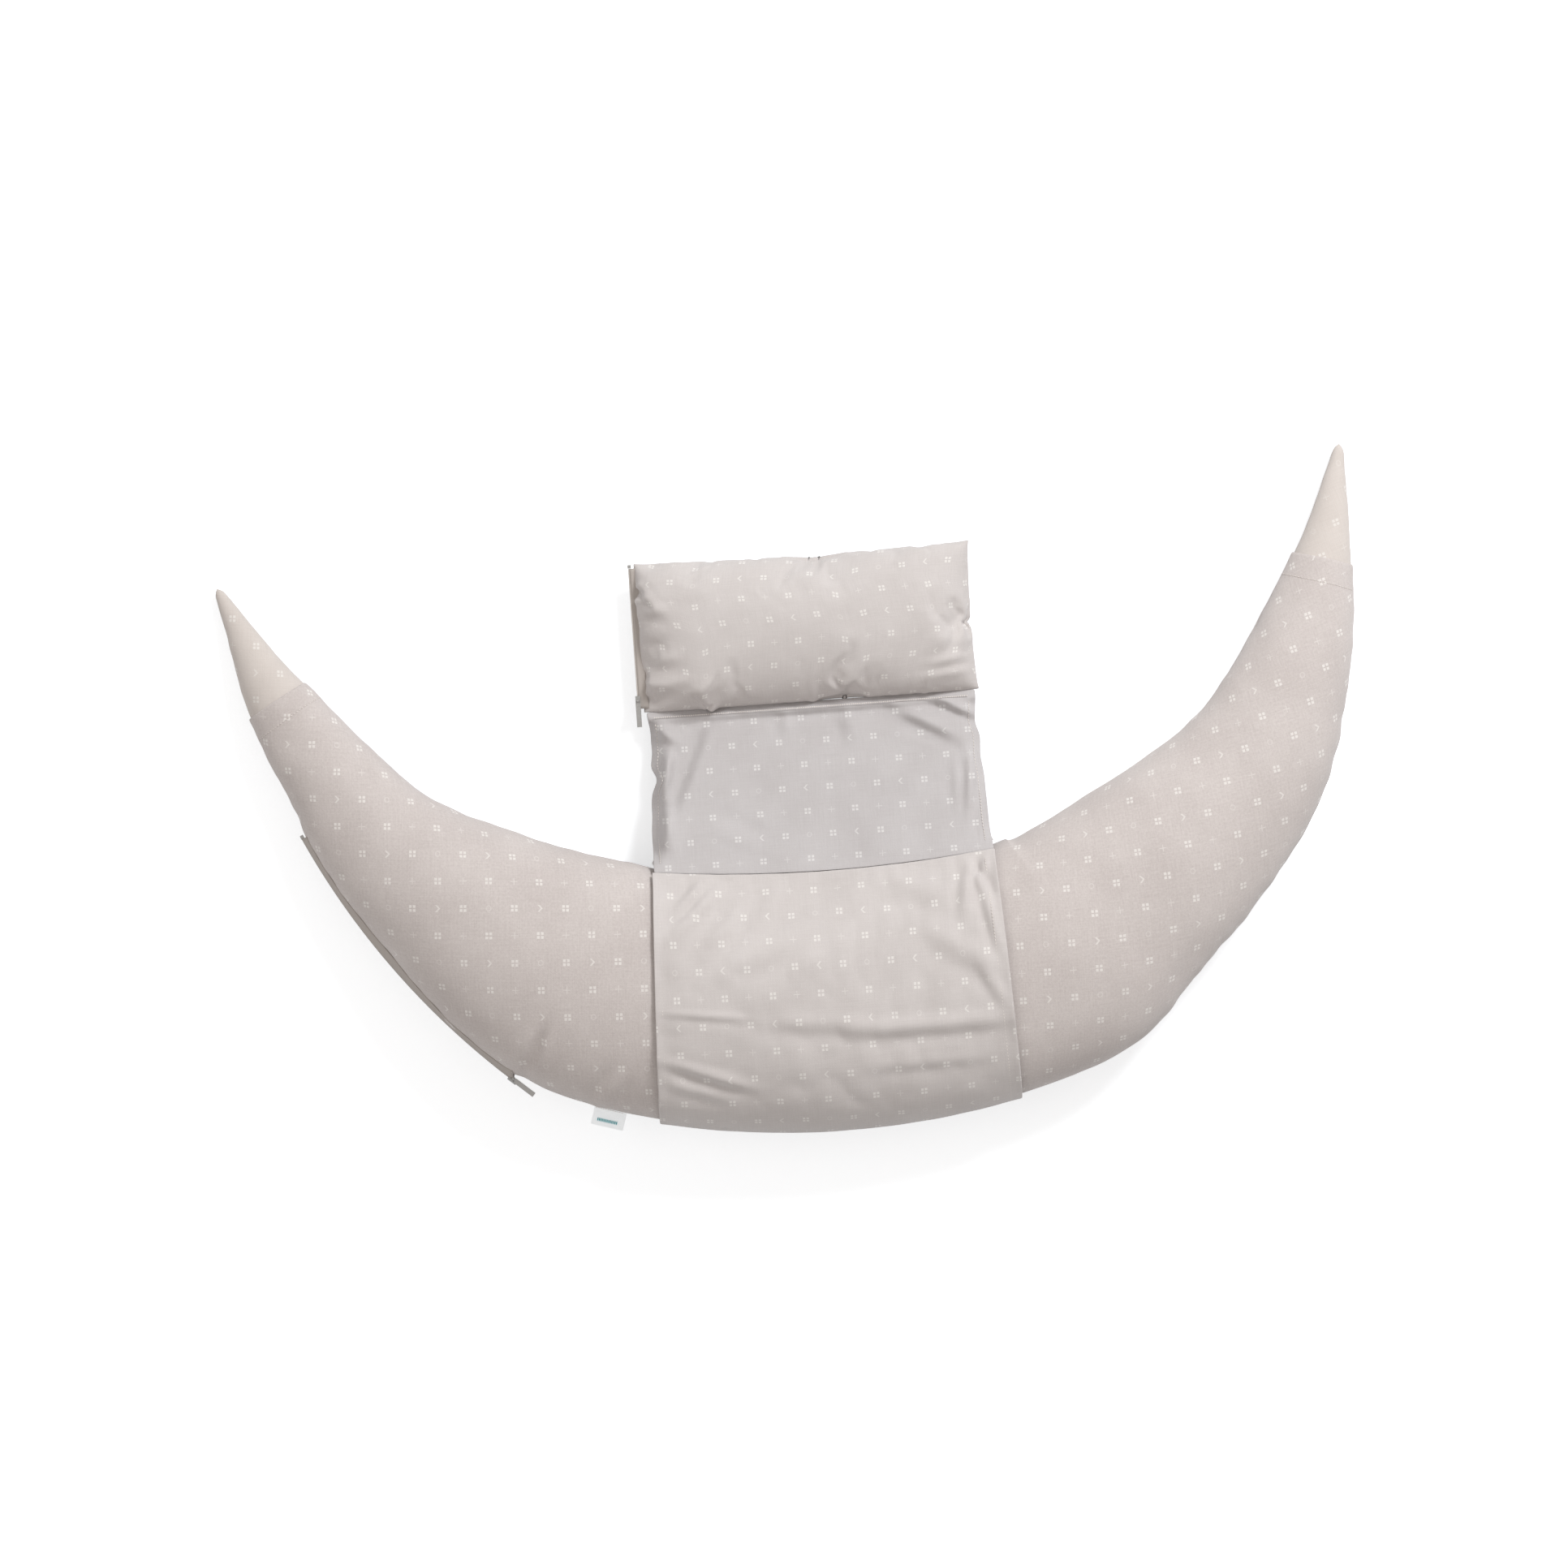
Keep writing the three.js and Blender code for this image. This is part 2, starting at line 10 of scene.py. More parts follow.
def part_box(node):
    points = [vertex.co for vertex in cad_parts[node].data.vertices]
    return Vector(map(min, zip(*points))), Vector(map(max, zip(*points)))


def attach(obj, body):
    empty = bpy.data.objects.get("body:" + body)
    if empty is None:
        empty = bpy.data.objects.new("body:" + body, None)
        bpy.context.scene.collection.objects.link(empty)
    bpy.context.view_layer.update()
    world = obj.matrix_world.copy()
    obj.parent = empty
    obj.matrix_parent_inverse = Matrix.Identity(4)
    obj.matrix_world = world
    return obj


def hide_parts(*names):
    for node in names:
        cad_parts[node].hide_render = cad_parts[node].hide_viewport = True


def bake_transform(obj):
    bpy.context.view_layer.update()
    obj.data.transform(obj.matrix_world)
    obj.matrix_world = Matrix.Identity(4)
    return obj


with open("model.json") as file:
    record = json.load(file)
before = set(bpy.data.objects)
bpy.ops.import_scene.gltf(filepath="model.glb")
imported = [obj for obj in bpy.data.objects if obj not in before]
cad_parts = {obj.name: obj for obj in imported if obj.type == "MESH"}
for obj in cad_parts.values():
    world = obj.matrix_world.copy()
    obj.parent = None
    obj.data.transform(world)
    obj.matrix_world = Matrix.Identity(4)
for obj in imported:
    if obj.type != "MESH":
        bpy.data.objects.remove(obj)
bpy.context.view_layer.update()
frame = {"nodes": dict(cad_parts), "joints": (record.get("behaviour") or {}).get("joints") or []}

MM = 0.001

# ---- the pillow's driving sizes, in millimetres as in the CAD ----

RING_CENTRE_Y = 660
RING_RADIUS = 672
MIDDLE_HALF_WIDTH = 123
MIDDLE_THICKNESS = 146
MIDDLE_END = 21
MIDDLE_LIFT = 2
RIM_SHARE = 0.44
UNDERSIDE_FLATTENING = 1.35

# Arm stations from root to tip: x, y, half width, thickness, lift off the floor.
LEFT_ARM = (
    (-303.5, 69, 110, 136, 1),
    (-370, 120, 88, 122, 0),
    (-431, 173, 67, 98, 0),
    (-482, 243, 51, 78, 0),
    (-541, 336, 35, 54, 0),
    (-568, 395, 20, 34, 0),
    (-590, 444, 9, 17, 0),
)
RIGHT_ARM = (
    (292, 72, 109, 138, 1),
    (373, 132, 94, 124, 0),
    (439, 198, 78, 106, 0),
    (475, 261, 64, 92, 0),
    (506, 336, 48, 70, 0),
    (533, 425, 27, 42, 0),
    (551, 509, 9, 17, 0),
)
HEM_REACH = {-1: 6, 1: 6.75}
TIP_REACH = 8
HOOD_OVERLAP = 0.4
HOOD_INSET = 2.8

# The sleeve: its lift off the cover, half widths at both rims, and length round the crescent.
SLEEVE_LIFT = 2.2
SLEEVE_INNER_SIDE = 172
SLEEVE_OUTER_SIDE = 183
SLEEVE_MEAN_SIDE = 178
SLEEVE_RUN = 560
SLEEVE_INNER_Y = 134
SLEEVE_OUTER_Y = -135
PANEL_AXIS = (146, 92)
CUSHION_AXIS = (295, 28)
CUSHION_HALF_LENGTH = 171
CUSHION_FAR_Y = 447.5
CUSHION_TOP = 46
CUSHION_ZIP = (300, 442)

# The label, the zip's reach along the left arm, and how far the coil stands off the arm's width.
LABEL_SIZE = (33, 20)
LABEL_SHIFT = 1.8
LABEL_ANGLE = math.radians(-16.9)
ARM_ZIP_REACH = (1.4, 4.8)
ARM_ZIP_OFFSET = 7.4

# The print: the distance between motifs along and across its rows, on each kind of cloth.
PRINT_PITCH = (25.7, 27.5)
SLEEVE_PITCH = (23.9, 27.4)
WING_PITCH = (23.9, 23.6)


# ---- helpers for numbers ----


def smooth(t):
    """0 below 0, 1 above 1, and a smooth step between."""
    t = np.clip(t, 0, 1)
    return t * t * (3 - 2 * t)


def spline(rows, t):
    """A uniform Catmull-Rom curve through rows, at the fractional row numbers t."""
    rows = np.asarray(rows, float)
    longer = np.vstack([2 * rows[0] - rows[1], rows, 2 * rows[-1] - rows[-2]])
    first = np.clip(np.floor(t).astype(int), 0, len(rows) - 2)
    f = (t - first)[:, None]
    a, b, c, d = (longer[first + k] for k in range(4))
    return 0.5 * (
        2 * b
        + (c - a) * f
        + (2 * a - 5 * b + 4 * c - d) * f**2
        + (3 * b - a - 3 * c + d) * f**3
    )


def noise_grid(x, y, size, seed, detail=0):
    """Smooth noise in about -1 to 1 over two arrays of millimetres, in lumps of about the given size."""
    flat = []
    for px, py in zip(np.ravel(x), np.ravel(y)):
        value, scale = 0.0, 1.0
        for _ in range(detail + 1):
            value += noise.noise(Vector((px / size / scale, py / size / scale, seed))) * scale
            scale *= 0.5
        flat.append(value * 1.6)
    return np.reshape(flat, np.shape(x))


def fold_depth(x, y, folds):
    """Height of soft folds drawn as lines: x0, y0, x1, y1, half width, height."""
    total = np.zeros_like(x, dtype=float)
    for x0, y0, x1, y1, width, height in folds:
        run = np.array([x1 - x0, y1 - y0], float)
        length = np.hypot(*run)
        along = ((x - x0) * run[0] + (y - y0) * run[1]) / length
        aside = ((x - x0) * run[1] - (y - y0) * run[0]) / length
        past = np.maximum(0, np.maximum(-along, along - length))
        taper = np.sin(np.pi * np.clip(along / length, 0.04, 0.96)) ** 0.6
        ridge = np.exp(-((aside / width) ** 2)) - 0.6 * np.exp(-(((aside - 1.7 * width) / width) ** 2))
        total += height * taper * ridge * np.exp(-((past / width) ** 2))
    return total


# ---- helpers for meshes ----


def surface(name, points, uvs, close_round=False, cap_ends=False):
    """A piece from a grid of columns by rows: points in millimetres, and uvs in print cells."""
    columns, rows = points.shape[0] - 1, points.shape[1] - 1
    mesh = bpy.data.meshes.new(name)
    bm = bmesh.new()
    bmesh.ops.create_grid(bm, x_segments=columns, y_segments=rows, size=0.5)
    layer = bm.loops.layers.uv.new("UVMap")
    place = {}
    for v in bm.verts:
        place[v] = (round((v.co.x + 0.5) * columns), round((v.co.y + 0.5) * rows))
    for v, (i, j) in place.items():
        v.co = points[i, j] * MM
    for face in bm.faces:
        for loop in face.loops:
            loop[layer].uv = uvs[place[loop.vert]]
    if close_round:
        bmesh.ops.remove_doubles(bm, verts=bm.verts[:], dist=2e-5)
    if cap_ends:
        edges = [e for e in bm.edges if e.is_boundary]
        bmesh.ops.holes_fill(bm, edges=edges, sides=0)
    bmesh.ops.recalc_face_normals(bm, faces=bm.faces[:])
    bm.to_mesh(mesh)
    bm.free()
    piece = bpy.data.objects.new(name, mesh)
    bpy.context.collection.objects.link(piece)
    mesh.polygons.foreach_set("use_smooth", [True] * len(mesh.polygons))
    return piece


def normals_of(points):
    """Unit normals of a grid of points."""
    along = np.gradient(points, axis=0)
    across = np.gradient(points, axis=1)
    normal = np.cross(along, across)
    return normal / np.maximum(np.linalg.norm(normal, axis=2, keepdims=True), 1e-9)


def refine(piece, levels=1):
    subdivide = piece.modifiers.new("Subdivision", "SUBSURF")
    subdivide.levels = levels
    subdivide.render_levels = levels


def thicken(piece, thickness):
    solidify = piece.modifiers.new("Solidify", "SOLIDIFY")
    solidify.thickness = thickness * MM
    solidify.offset = -1


def paint(piece, material):
    piece.data.materials.clear()
    piece.data.materials.append(material)


# ---- the crescent's shape ----


def middle_rows(degrees):
    a = np.radians(degrees)
    same = np.ones_like(a)
    return np.stack(
        [
            RING_RADIUS * np.sin(a),
            RING_CENTRE_Y - RING_RADIUS * np.cos(a),
            MIDDLE_HALF_WIDTH * same,
            MIDDLE_THICKNESS * same,
            MIDDLE_LIFT * same,
        ],
        axis=1,
    )


# Reaches along an arm, the middle's degrees that match one reach, and the easing's half span.
DENSE = np.linspace(1, 8, 351)
DEGREES_PER_REACH = 6
EASE_HALF = 30
LEAD = (DENSE[1:2 * EASE_HALF + 1] - 1)[::-1] * DEGREES_PER_REACH
EASED_REACH = np.concatenate([1 - LEAD[EASE_HALF:] / MIDDLE_END, DENSE])


def eased_arm(side, arm):
    """Rows of an arm from its root to its tip, with the stations' small kinks eased out."""
    roots = middle_rows(np.array([MIDDLE_END - 5, MIDDLE_END]) * side)
    rows = spline(np.vstack([roots, np.array(arm, float)]), DENSE)
    before = middle_rows((MIDDLE_END - LEAD) * side)
    after = 2 * rows[-1] - rows[-EASE_HALF - 1:-1][::-1]
    long_rows = np.vstack([before, rows, after])
    kernel = np.bartlett(2 * EASE_HALF + 3)[1:-1]
    kernel /= kernel.sum()
    return np.stack([np.convolve(column, kernel, "valid") for column in long_rows.T], axis=1)


EASED = {-1: eased_arm(-1, LEFT_ARM), 1: eased_arm(1, RIGHT_ARM)}


def arm_rows(side, reach):
    """Centre, half width, thickness and lift at each reach: 0 to 1 is the middle, 8 the tip."""
    reach = np.asarray(reach, float)
    outer = np.stack([np.interp(reach, EASED_REACH, column) for column in EASED[side].T], axis=1)
    inner = middle_rows(np.minimum(reach, 1) * MIDDLE_END * side)
    return np.where((reach < EASED_REACH[0])[:, None], inner, outer)


def centreline(rows, side):
    """Arc length and the unit directions along (towards +X) and outwards at each row."""
    step = np.gradient(rows[:, :2], axis=0) * side
    along = step / np.linalg.norm(step, axis=1, keepdims=True)
    out = np.stack([along[:, 1], -along[:, 0]], axis=1)
    length = np.concatenate([[0], np.cumsum(np.linalg.norm(np.diff(rows[:, :2], axis=0), axis=1))])
    return length, along, out


def section_grid(rows, out, turns, inset=0.0, extra_outer=0.0):
    """Points of the stuffed tube: turns are angles from the inner rim over the top and round again."""
    u = np.asarray(turns)[None, :]
    width, thickness, lift = (rows[:, k][:, None] for k in (2, 3, 4))
    bottom = RIM_SHARE * thickness
    top = thickness - bottom
    crown = np.abs(np.sin(u))
    over = np.sin(u) >= 0
    rise = np.where(
        over,
        (top - inset) * crown**0.92,
        -(bottom - inset) * np.minimum(1, UNDERSIDE_FLATTENING * crown),
    )
    aside = -(width - inset) * np.cos(u)
    aside = aside + np.where(aside > 0, aside / width, 0) ** 3 * extra_outer
    x = rows[:, 0][:, None] + out[:, 0][:, None] * aside
    y = rows[:, 1][:, None] + out[:, 1][:, None] * aside
    z = lift + bottom + rise
    return np.stack([x, y, z], axis=2)


def print_map(rows, side, along, length, points, row_angle, origin):
    """The print's cells on the tube, as it lay on the flat cloth that the crescent was cut from."""
    tilt = np.arctan2(along[:, 1], along[:, 0]) - np.radians(row_angle)
    step = np.diff(length, prepend=length[0]) * side
    flat_x = origin[0] + np.cumsum(step * np.cos(tilt))
    flat_y = origin[1] + np.cumsum(step * np.sin(tilt))
    gaps = np.linalg.norm(np.diff(points, axis=1), axis=2)
    round_ = np.concatenate([np.zeros((len(rows), 1)), np.cumsum(gaps, axis=1)], axis=1)
    crest = round_[:, [round_.shape[1] // 4]]
    aside = round_ - crest
    u = flat_x[:, None] + np.sin(tilt)[:, None] * aside
    v = flat_y[:, None] - np.cos(tilt)[:, None] * aside
    return np.stack([u / PRINT_PITCH[0], v / PRINT_PITCH[1]], axis=2)


# ---- materials: groups ----


class Tree:
    """A small hand for wiring a node tree."""

    def __init__(self, tree):
        self.tree = tree

    def node(self, kind, **settings):
        made = self.tree.nodes.new(kind)
        for key, value in settings.items():
            setattr(made, key, value)
        return made

    def wire(self, source, target):
        if isinstance(source, (int, float)):
            target.default_value = source
        else:
            self.tree.links.new(source, target)

    def math(self, operation, *values, clamp=False):
        made = self.node("ShaderNodeMath", operation=operation, use_clamp=clamp)
        for k, value in enumerate(values):
            self.wire(value, made.inputs[k])
        return made.outputs[0]


def group(name, inputs, outputs):
    tree = bpy.data.node_groups.new(name, "ShaderNodeTree")
    for label, kind, value in inputs:
        socket = tree.interface.new_socket(label, in_out="INPUT", socket_type=kind)
        if value is not None:
            socket.default_value = value
    for label, kind in outputs:
        tree.interface.new_socket(label, in_out="OUTPUT", socket_type=kind)
    hand = Tree(tree)
    source = hand.node("NodeGroupInput").outputs
    target = hand.node("NodeGroupOutput").inputs
    return tree, hand, source, target


def motif_group():
    """Four small squares, and between them a fine plus, a chevron or a faint ring."""
    tree, hand, source, target = group(
        "printed_motifs", [("Cells", "NodeSocketVector", None)], [("Mask", "NodeSocketFloat")]
    )
    split = hand.node("ShaderNodeSeparateXYZ")
    hand.wire(source["Cells"], split.inputs[0])
    m = hand.math
    column, row = (m("FLOOR", split.outputs[k]) for k in (0, 1))
    x = m("SUBTRACT", m("SUBTRACT", split.outputs[0], column), 0.5)
    y = m("SUBTRACT", m("SUBTRACT", split.outputs[1], row), 0.5)
    ax, ay = m("ABSOLUTE", x), m("ABSOLUTE", y)

    def inside(value, low, high):
        return m("MULTIPLY", m("GREATER_THAN", value, low), m("LESS_THAN", value, high))

    block = m("MULTIPLY", inside(ax, 0.024, 0.13), inside(ay, 0.022, 0.122))
    bars = m(
        "MAXIMUM",
        m("MULTIPLY", m("LESS_THAN", ax, 0.016), m("LESS_THAN", ay, 0.13)),
        m("MULTIPLY", m("LESS_THAN", ay, 0.016), m("LESS_THAN", ax, 0.14)),
    )
    slope = m("ABSOLUTE", m("SUBTRACT", x, m("SUBTRACT", 0.07, ay)))
    chevron = m("MULTIPLY", m("LESS_THAN", slope, 0.04), m("LESS_THAN", ay, 0.13))
    radius = m("SQRT", m("ADD", m("MULTIPLY", x, x), m("MULTIPLY", y, y)))
    ring = m("LESS_THAN", m("ABSOLUTE", m("SUBTRACT", radius, 0.09)), 0.02)

    def modulo(value, by):
        return m("FLOORED_MODULO", value, by)

    total = m("ADD", row, column)
    even_sum = m("LESS_THAN", modulo(total, 2), 0.5)
    odd_sum = m("SUBTRACT", 1.0, even_sum)
    even_row = m("LESS_THAN", modulo(row, 2), 0.5)
    odd_row = m("SUBTRACT", 1.0, even_row)
    third = m("GREATER_THAN", modulo(total, 4), 2.5)
    first = m("SUBTRACT", 1.0, third)
    parts = [
        (block, even_sum, 0.62),
        (m("MULTIPLY", bars, even_row), odd_sum, 0.36),
        (m("MULTIPLY", m("MULTIPLY", chevron, odd_row), third), odd_sum, 0.5),
        (m("MULTIPLY", m("MULTIPLY", ring, odd_row), first), odd_sum, 0.25),
    ]
    sums = 0.0
    for shape, where, strength in parts:
        sums = m("ADD", sums, m("MULTIPLY", m("MULTIPLY", shape, where), strength))
    wear = hand.node("ShaderNodeTexNoise")
    wear.inputs["Scale"].default_value = 9
    wear.inputs["Detail"].default_value = 3
    hand.wire(source["Cells"], wear.inputs["Vector"])
    ink = m("ADD", m("MULTIPLY", wear.outputs["Fac"], 0.7), 0.55, clamp=True)
    hand.wire(m("MULTIPLY", sums, ink, clamp=True), target["Mask"])
    return tree


def weave_group():
    """Plain weave: threads over and under each other, with uneven slubs, from cells of cloth."""
    tree, hand, source, target = group(
        "plain_weave",
        [("Cells", "NodeSocketVector", None), ("Threads", "NodeSocketFloat", 44.0)],
        [("Height", "NodeSocketFloat"), ("Slub", "NodeSocketFloat"), ("Fleck", "NodeSocketFloat")],
    )
    m = hand.math
    scaled = hand.node("ShaderNodeVectorMath", operation="SCALE")
    hand.wire(source["Cells"], scaled.inputs[0])
    hand.wire(source["Threads"], scaled.inputs["Scale"])
    split = hand.node("ShaderNodeSeparateXYZ")
    hand.wire(scaled.outputs[0], split.inputs[0])
    warp = m("SINE", m("MULTIPLY", split.outputs[0], math.pi))
    weft = m("SINE", m("MULTIPLY", split.outputs[1], math.pi))
    threads = m("MULTIPLY", warp, weft)

    def slub(stretch):
        bend = hand.node("ShaderNodeMapping")
        hand.wire(source["Cells"], bend.inputs["Vector"])
        bend.inputs["Scale"].default_value = stretch
        lumps = hand.node("ShaderNodeTexNoise")
        lumps.inputs["Scale"].default_value = 1
        lumps.inputs["Detail"].default_value = 2
        hand.wire(bend.outputs[0], lumps.inputs["Vector"])
        return lumps.outputs["Fac"]

    streaks = m(
        "ADD",
        m("MULTIPLY", slub((0.9, 22, 1)), 0.5),
        m("MULTIPLY", slub((22, 0.9, 1)), 0.5),
    )
    fleck = hand.node("ShaderNodeTexNoise")
    fleck.inputs["Scale"].default_value = 11
    fleck.inputs["Detail"].default_value = 5
    fleck.inputs["Roughness"].default_value = 0.75
    hand.wire(source["Cells"], fleck.inputs["Vector"])
    hand.wire(fleck.outputs["Fac"], target["Fleck"])
    surface_height = m("ADD", m("MULTIPLY", threads, 0.5), m("MULTIPLY", fleck.outputs["Fac"], 1.2))
    hand.wire(m("ADD", surface_height, streaks), target["Height"])
    hand.wire(streaks, target["Slub"])
    return tree


# How much the slow tone and the threads' streaks count in the cloth's colour, and its contrast.
TONE_SHARE = 0.55
SLUB_SHARE = 0.65
TONE_CONTRAST = 2.6


def cloth_material(name, base, shade, ink, motifs, weave, sheen=0.25, threads=44.0, flecks=0.35):
    """Printed cotton: ink, the threads' streaks and a slow change of tone, with the weave as bump."""
    material = bpy.data.materials.new(name)
    material.use_nodes = True
    hand = Tree(material.node_tree)
    shader = material.node_tree.nodes["Principled BSDF"]
    uv = hand.node("ShaderNodeUVMap", uv_map="UVMap")
    woven = hand.node("ShaderNodeGroup", node_tree=weave)
    hand.wire(uv.outputs[0], woven.inputs["Cells"])
    woven.inputs["Threads"].default_value = threads
    tone = hand.node("ShaderNodeTexNoise")
    tone.inputs["Scale"].default_value = 0.35
    tone.inputs["Detail"].default_value = 3
    hand.wire(uv.outputs[0], tone.inputs["Vector"])
    amount = hand.math(
        "ADD",
        hand.math("MULTIPLY", tone.outputs["Fac"], TONE_SHARE),
        hand.math("MULTIPLY", woven.outputs["Slub"], SLUB_SHARE),
    )
    amount = hand.math("ADD", amount, hand.math("MULTIPLY", woven.outputs["Fleck"], flecks))
    centre = (TONE_SHARE + SLUB_SHARE + flecks) / 2
    contrast = hand.math("MULTIPLY", hand.math("SUBTRACT", amount, centre), TONE_CONTRAST)
    spread = hand.math("ADD", contrast, 0.5, clamp=True)
    cloth = hand.node("ShaderNodeMix", data_type="RGBA")
    cloth.inputs["A"].default_value = (*shade, 1)
    cloth.inputs["B"].default_value = (*base, 1)
    hand.wire(spread, cloth.inputs["Factor"])
    colour = cloth.outputs["Result"]
    if motifs:
        mask = hand.node("ShaderNodeGroup", node_tree=motifs)
        hand.wire(uv.outputs[0], mask.inputs["Cells"])
        printed = hand.node("ShaderNodeMix", data_type="RGBA")
        hand.wire(mask.outputs["Mask"], printed.inputs["Factor"])
        hand.wire(colour, printed.inputs["A"])
        printed.inputs["B"].default_value = (*ink, 1)
        colour = printed.outputs["Result"]
    hand.wire(colour, shader.inputs["Base Color"])
    rough = hand.math("ADD", hand.math("MULTIPLY", woven.outputs["Slub"], 0.12), 0.82)
    hand.wire(rough, shader.inputs["Roughness"])
    shader.inputs["Sheen Weight"].default_value = sheen
    shader.inputs["Sheen Roughness"].default_value = 0.55
    shader.inputs["Specular IOR Level"].default_value = 0.25
    bump = hand.node("ShaderNodeBump")
    bump.inputs["Strength"].default_value = 0.35
    bump.inputs["Distance"].default_value = 0.0004
    hand.wire(woven.outputs["Height"], bump.inputs["Height"])
    hand.wire(bump.outputs[0], shader.inputs["Normal"])
    return material


def grained_material(name, low, high, roughness, metallic, scale, bump_distance):
    """A small hard part: two tones of fine grain, with matching roughness and bump."""
    material = bpy.data.materials.new(name)
    material.use_nodes = True
    hand = Tree(material.node_tree)
    shader = material.node_tree.nodes["Principled BSDF"]
    place = hand.node("ShaderNodeTexCoord")
    grain = hand.node("ShaderNodeTexNoise")
    grain.inputs["Scale"].default_value = scale
    grain.inputs["Detail"].default_value = 4
    hand.wire(place.outputs["Object"], grain.inputs["Vector"])
    tone = hand.node("ShaderNodeMix", data_type="RGBA")
    tone.inputs["A"].default_value = (*low, 1)
    tone.inputs["B"].default_value = (*high, 1)
    hand.wire(grain.outputs["Fac"], tone.inputs["Factor"])
    hand.wire(tone.outputs["Result"], shader.inputs["Base Color"])
    rough = hand.math("ADD", hand.math("MULTIPLY", grain.outputs["Fac"], 0.2), roughness - 0.1)
    hand.wire(rough, shader.inputs["Roughness"])
    shader.inputs["Metallic"].default_value = metallic
    bump = hand.node("ShaderNodeBump")
    bump.inputs["Strength"].default_value = 0.4
    bump.inputs["Distance"].default_value = bump_distance
    hand.wire(grain.outputs["Fac"], bump.inputs["Height"])
    hand.wire(bump.outputs[0], shader.inputs["Normal"])
    return material


motifs = motif_group()
weave = weave_group()
GREIGE = (0.63, 0.583, 0.563)
GREIGE_SHADE = (0.526, 0.477, 0.46)
INK = (0.86, 0.84, 0.81)
crescent_cotton = cloth_material(
    "crescent_cotton", GREIGE, GREIGE_SHADE, INK, motifs, weave, flecks=1.0
)
wing_cotton = cloth_material(
    "wing_cotton", (0.635, 0.6, 0.587), (0.555, 0.519, 0.505), INK, motifs, weave
)
# The panel wears a darker, bluer copy of the wing's cloth, its print ink darker too: painted shade for
# the dimmer light the panel gets.
shaded_panel_cotton = cloth_material(
    "shaded_panel_cotton", (0.552, 0.532, 0.534), (0.478, 0.454, 0.454), (0.78, 0.77, 0.76), motifs, weave
)
tip_cotton = cloth_material(
    "tip_cotton", (0.66, 0.61, 0.575), (0.585, 0.535, 0.5), (0.8, 0.78, 0.75), motifs, weave
)
satin = cloth_material("label_satin", (0.9, 0.92, 0.92), (0.84, 0.86, 0.87), INK, None, weave, 0.4, 60.0)
thread = grained_material("sewing_thread", (0.68, 0.63, 0.59), (0.82, 0.78, 0.74), 0.8, 0, 900, 0.0001)
teal_thread = grained_material("teal_thread", (0.05, 0.36, 0.4), (0.1, 0.46, 0.5), 0.6, 0, 900, 0.0001)
# The zip tape's dark brown is partly the tape's own colour and partly painted shade, standing for the
# dark line along the rims.
tape = grained_material("zip_tape", (0.42, 0.38, 0.35), (0.5, 0.46, 0.43), 0.88, 0, 1200, 0.0001)
coil = grained_material("zip_coil", (0.55, 0.5, 0.47), (0.68, 0.64, 0.6), 0.5, 0, 500, 0.00005)
zinc = grained_material("zip_zinc", (0.5, 0.5, 0.49), (0.66, 0.66, 0.65), 0.34, 1, 700, 0.00003)


# ---- the crescent's cover, in two halves that meet under the sleeve ----

# The zip's bulge in the left rim, and the counts of cells round a cover and round and along a hood.
ZIP_BULGE = 4.4
COVER_GIRTH = 96
HOOD_GIRTH = 48
HOOD_ROWS = 44
# The closing rings past a tip: how far each lies past it, and its share of the tip's size.
TIP_CLOSING = ((4.5, 0.86), (7.5, 0.6), (9.0, 0.22))


def turns_for(count):
    return np.linspace(0, 2 * math.pi, count + 1)


def rim_puckers(length, turns, points, seed):
    """Short folds that run in from both rim seams, in millimetres out of the cloth."""
    girth = np.linalg.norm(np.diff(points, axis=1), axis=2).sum(axis=1)[:, None]
    u = turns[None, :] / (2 * math.pi)
    from_inner = np.minimum(u, 1 - u) * girth
    from_outer = np.abs(u - 0.5) * girth
    s = np.broadcast_to(length[:, None], from_inner.shape)
    total = np.zeros_like(from_inner)
    for distance, reach, size, height, shift in (
        (from_outer, 26.0, 17.0, 1.5, 0.0),
        (from_inner, 18.0, 22.0, 0.7, 40.0),
    ):
        ripples = noise_grid(s, distance * 0.35, size, seed + shift)
        total += height * ripples * np.exp(-distance / reach)
        total -= 1.1 * np.exp(-((distance / 3.5) ** 2))
    return total


